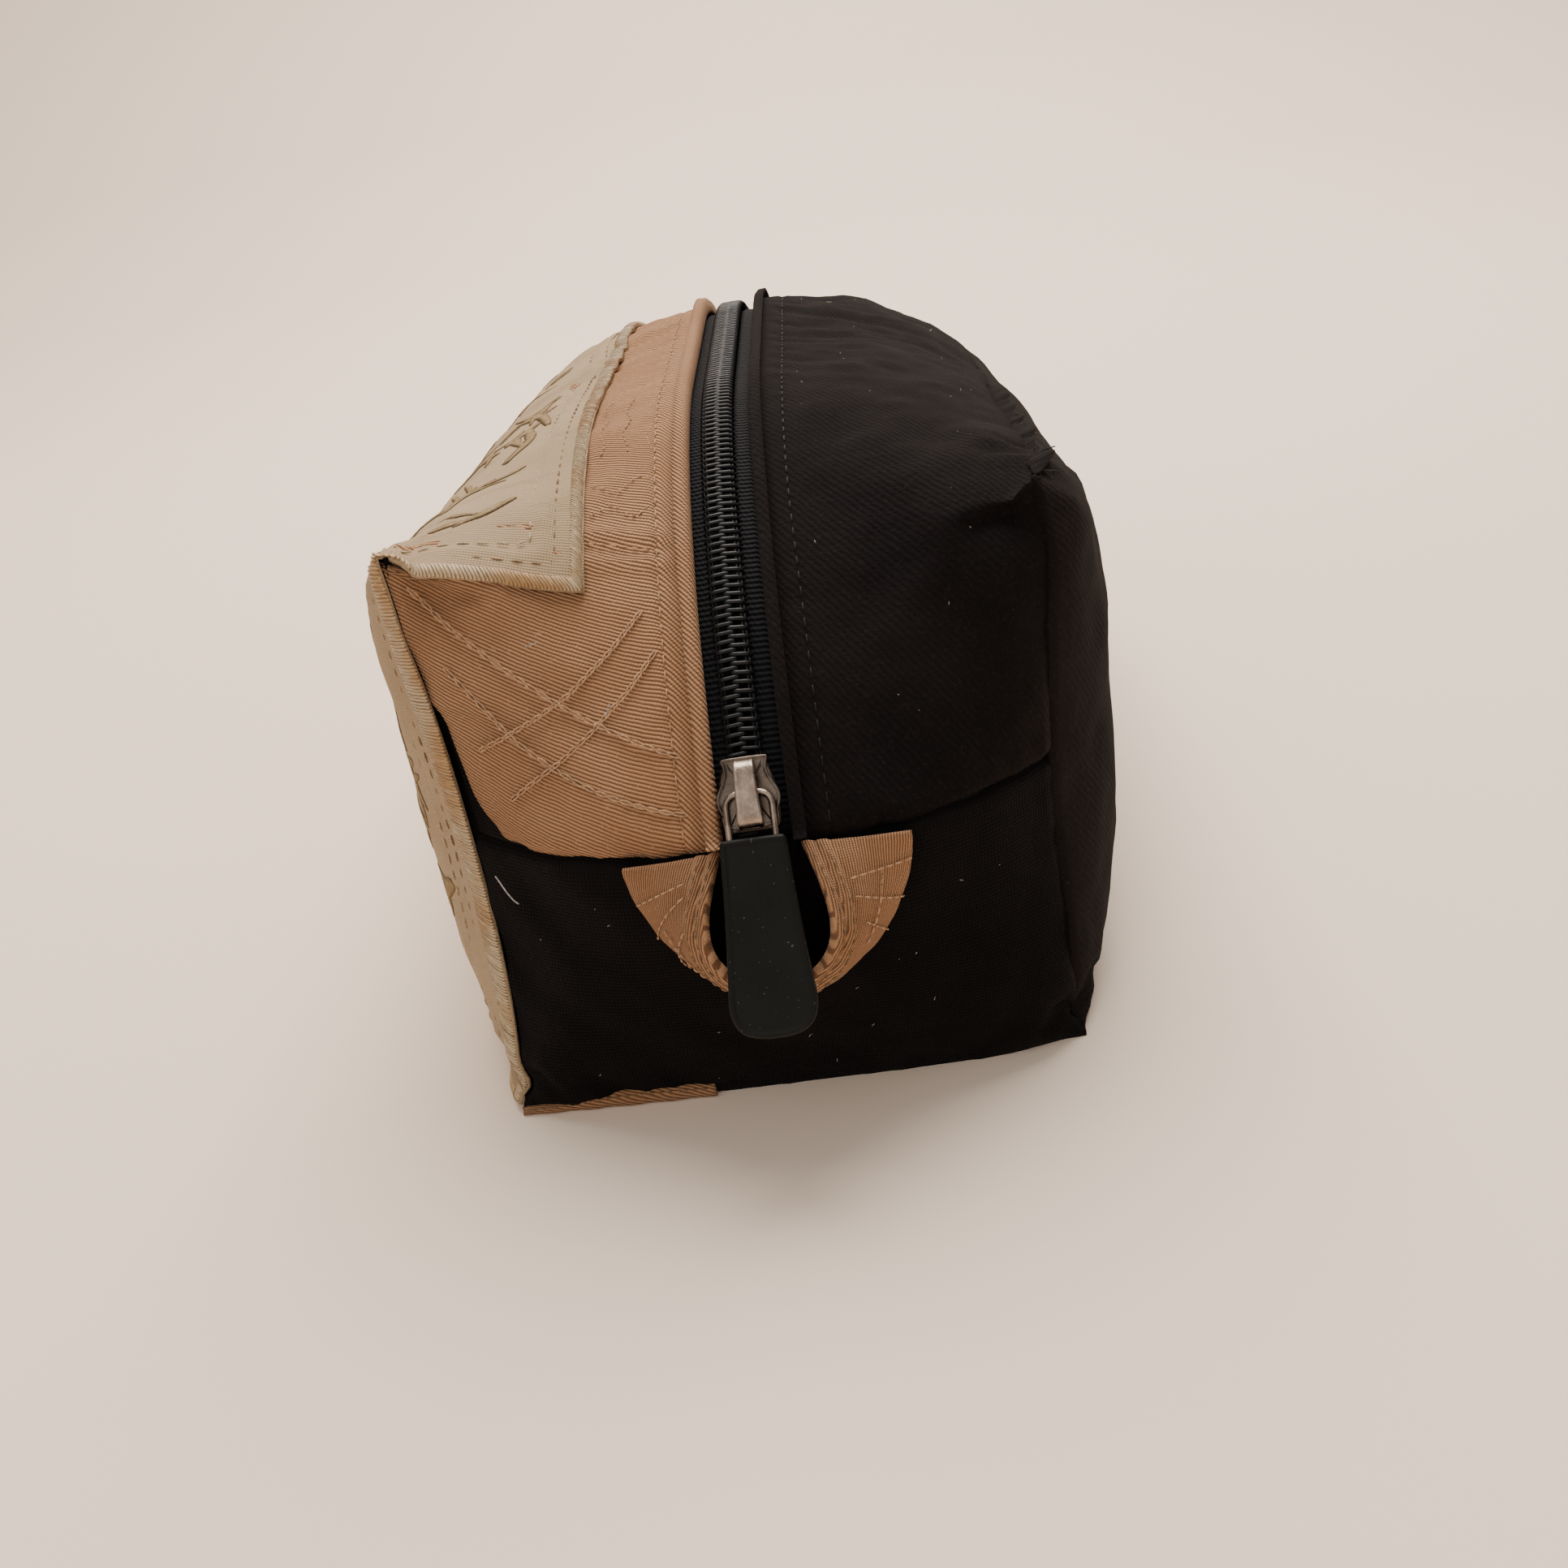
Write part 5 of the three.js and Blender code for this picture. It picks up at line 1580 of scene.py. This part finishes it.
def ridge_allowance():
    """The raw seam allowance that sticks out along the front half of the right ridge."""
    draw = np.random.default_rng(61)
    rows = np.linspace(1.0, len(RIDGE_Y) * 0.45, 60)
    index = np.arange(len(RIDGE_Y))
    ridge = np.stack([np.interp(rows, index, walls["right"][-1, :, k]) for k in range(3)], -1)
    reach = (1.7 + 0.9 * soft_noise(rows * 3, rows * 0, 7, 62)) * np.clip((rows - 1) / 2, 0.3, 1)
    reach = reach * np.clip((rows[-1] - rows) / 4, 0.2, 1) + draw.uniform(-0.25, 0.25, len(rows))
    section = [(-0.8, -0.9), (1.0, -0.1), (1.05, 0.25), (-0.8, 0.55)]
    rings = [[point + np.array([r * dx, 0, r * 0.35 * dx + dz]) for dx, dz in section]
             for point, r in zip(ridge, reach)]
    flat = np.stack(np.meshgrid(np.arange(4) * 1.5, rows * CELL), -1)
    piece = new_piece("ridge_allowance",
                      np.array(rings).reshape(-1, 3), tube_faces(len(rows), 4, 0), cloth=flat)
    dress(piece, "wool")


foot_edge()
lint_and_frays()
ridge_allowance()


# ---------------------------------------------------------------- floor, light and camera
def plain_floor():
    """A seamless pale sweep."""
    mesh = bpy.data.meshes.new("floor")
    depth = np.array([-2.5, 0.55, 0.75, 0.95, 1.1, 1.2, 1.25])
    height = np.array([0.0, 0.0, 0.02, 0.09, 0.22, 0.42, 2.2])
    points, faces = [], []
    for y, z in zip(depth, height):
        points += [(-2.5, y, z), (2.5, y, z)]
    for k in range(len(depth) - 1):
        faces.append((2 * k, 2 * k + 1, 2 * k + 3, 2 * k + 2))
    mesh.from_pydata(points, [], faces)
    mesh.polygons.foreach_set("use_smooth", [True] * len(mesh.polygons))
    floor = bpy.data.objects.new("floor", mesh)
    bpy.context.scene.collection.objects.link(floor)
    finish = Finish("floor_paper", 0.85)
    finish.colour(linear(248, 230, 212))
    mesh.materials.append(finish.material)


def area_light(name, place, target, size, power, colour):
    light = bpy.data.lights.new(name, "AREA")
    light.shape = "DISK"
    light.size = size
    light.energy = power
    light.color = colour
    lamp = bpy.data.objects.new(name, light)
    lamp.location = place
    lamp.rotation_euler = (Vector(target) - Vector(place)).to_track_quat("-Z", "Y").to_euler()
    bpy.context.scene.collection.objects.link(lamp)


plain_floor()
area_light("window", (0.05, 0.5, 1.1), (0, 0, 0.05), 1.1, 29, (1.0, 0.93, 0.86))
area_light("room", (-0.3, -1.1, 0.9), (0, 0, 0.05), 1.4, 5, (1.0, 0.92, 0.84))
world = bpy.data.worlds.new("soft room")
world.use_nodes = True
world.node_tree.nodes["Background"].inputs["Color"].default_value = (1.0, 0.92, 0.85, 1)
world.node_tree.nodes["Background"].inputs["Strength"].default_value = 0.42
bpy.context.scene.world = world

CAMERA_PLACE = (0.0256, -0.3333, 0.1908)
CAMERA_PITCH, CAMERA_YAW, CAMERA_ROLL = (math.radians(v) for v in (29.15, 4.86, 10.17))
CAMERA_LENS = 34.66


def make_camera():
    forward = Vector((-math.sin(CAMERA_YAW) * math.cos(CAMERA_PITCH),
                      math.cos(CAMERA_YAW) * math.cos(CAMERA_PITCH), -math.sin(CAMERA_PITCH)))
    level = Vector((math.cos(CAMERA_YAW), math.sin(CAMERA_YAW), 0))
    upward = level.cross(forward)
    right = level * math.cos(CAMERA_ROLL) - upward * math.sin(CAMERA_ROLL)
    top = level * math.sin(CAMERA_ROLL) + upward * math.cos(CAMERA_ROLL)
    data = bpy.data.cameras.new("camera")
    data.lens = CAMERA_LENS
    data.sensor_width = 36
    data.clip_start = 0.01
    camera = bpy.data.objects.new("camera", data)
    camera.matrix_world = Matrix((
        (right.x, top.x, -forward.x, CAMERA_PLACE[0]),
        (right.y, top.y, -forward.y, CAMERA_PLACE[1]),
        (right.z, top.z, -forward.z, CAMERA_PLACE[2]),
        (0, 0, 0, 1)))
    bpy.context.scene.collection.objects.link(camera)
    bpy.context.scene.camera = camera


make_camera()
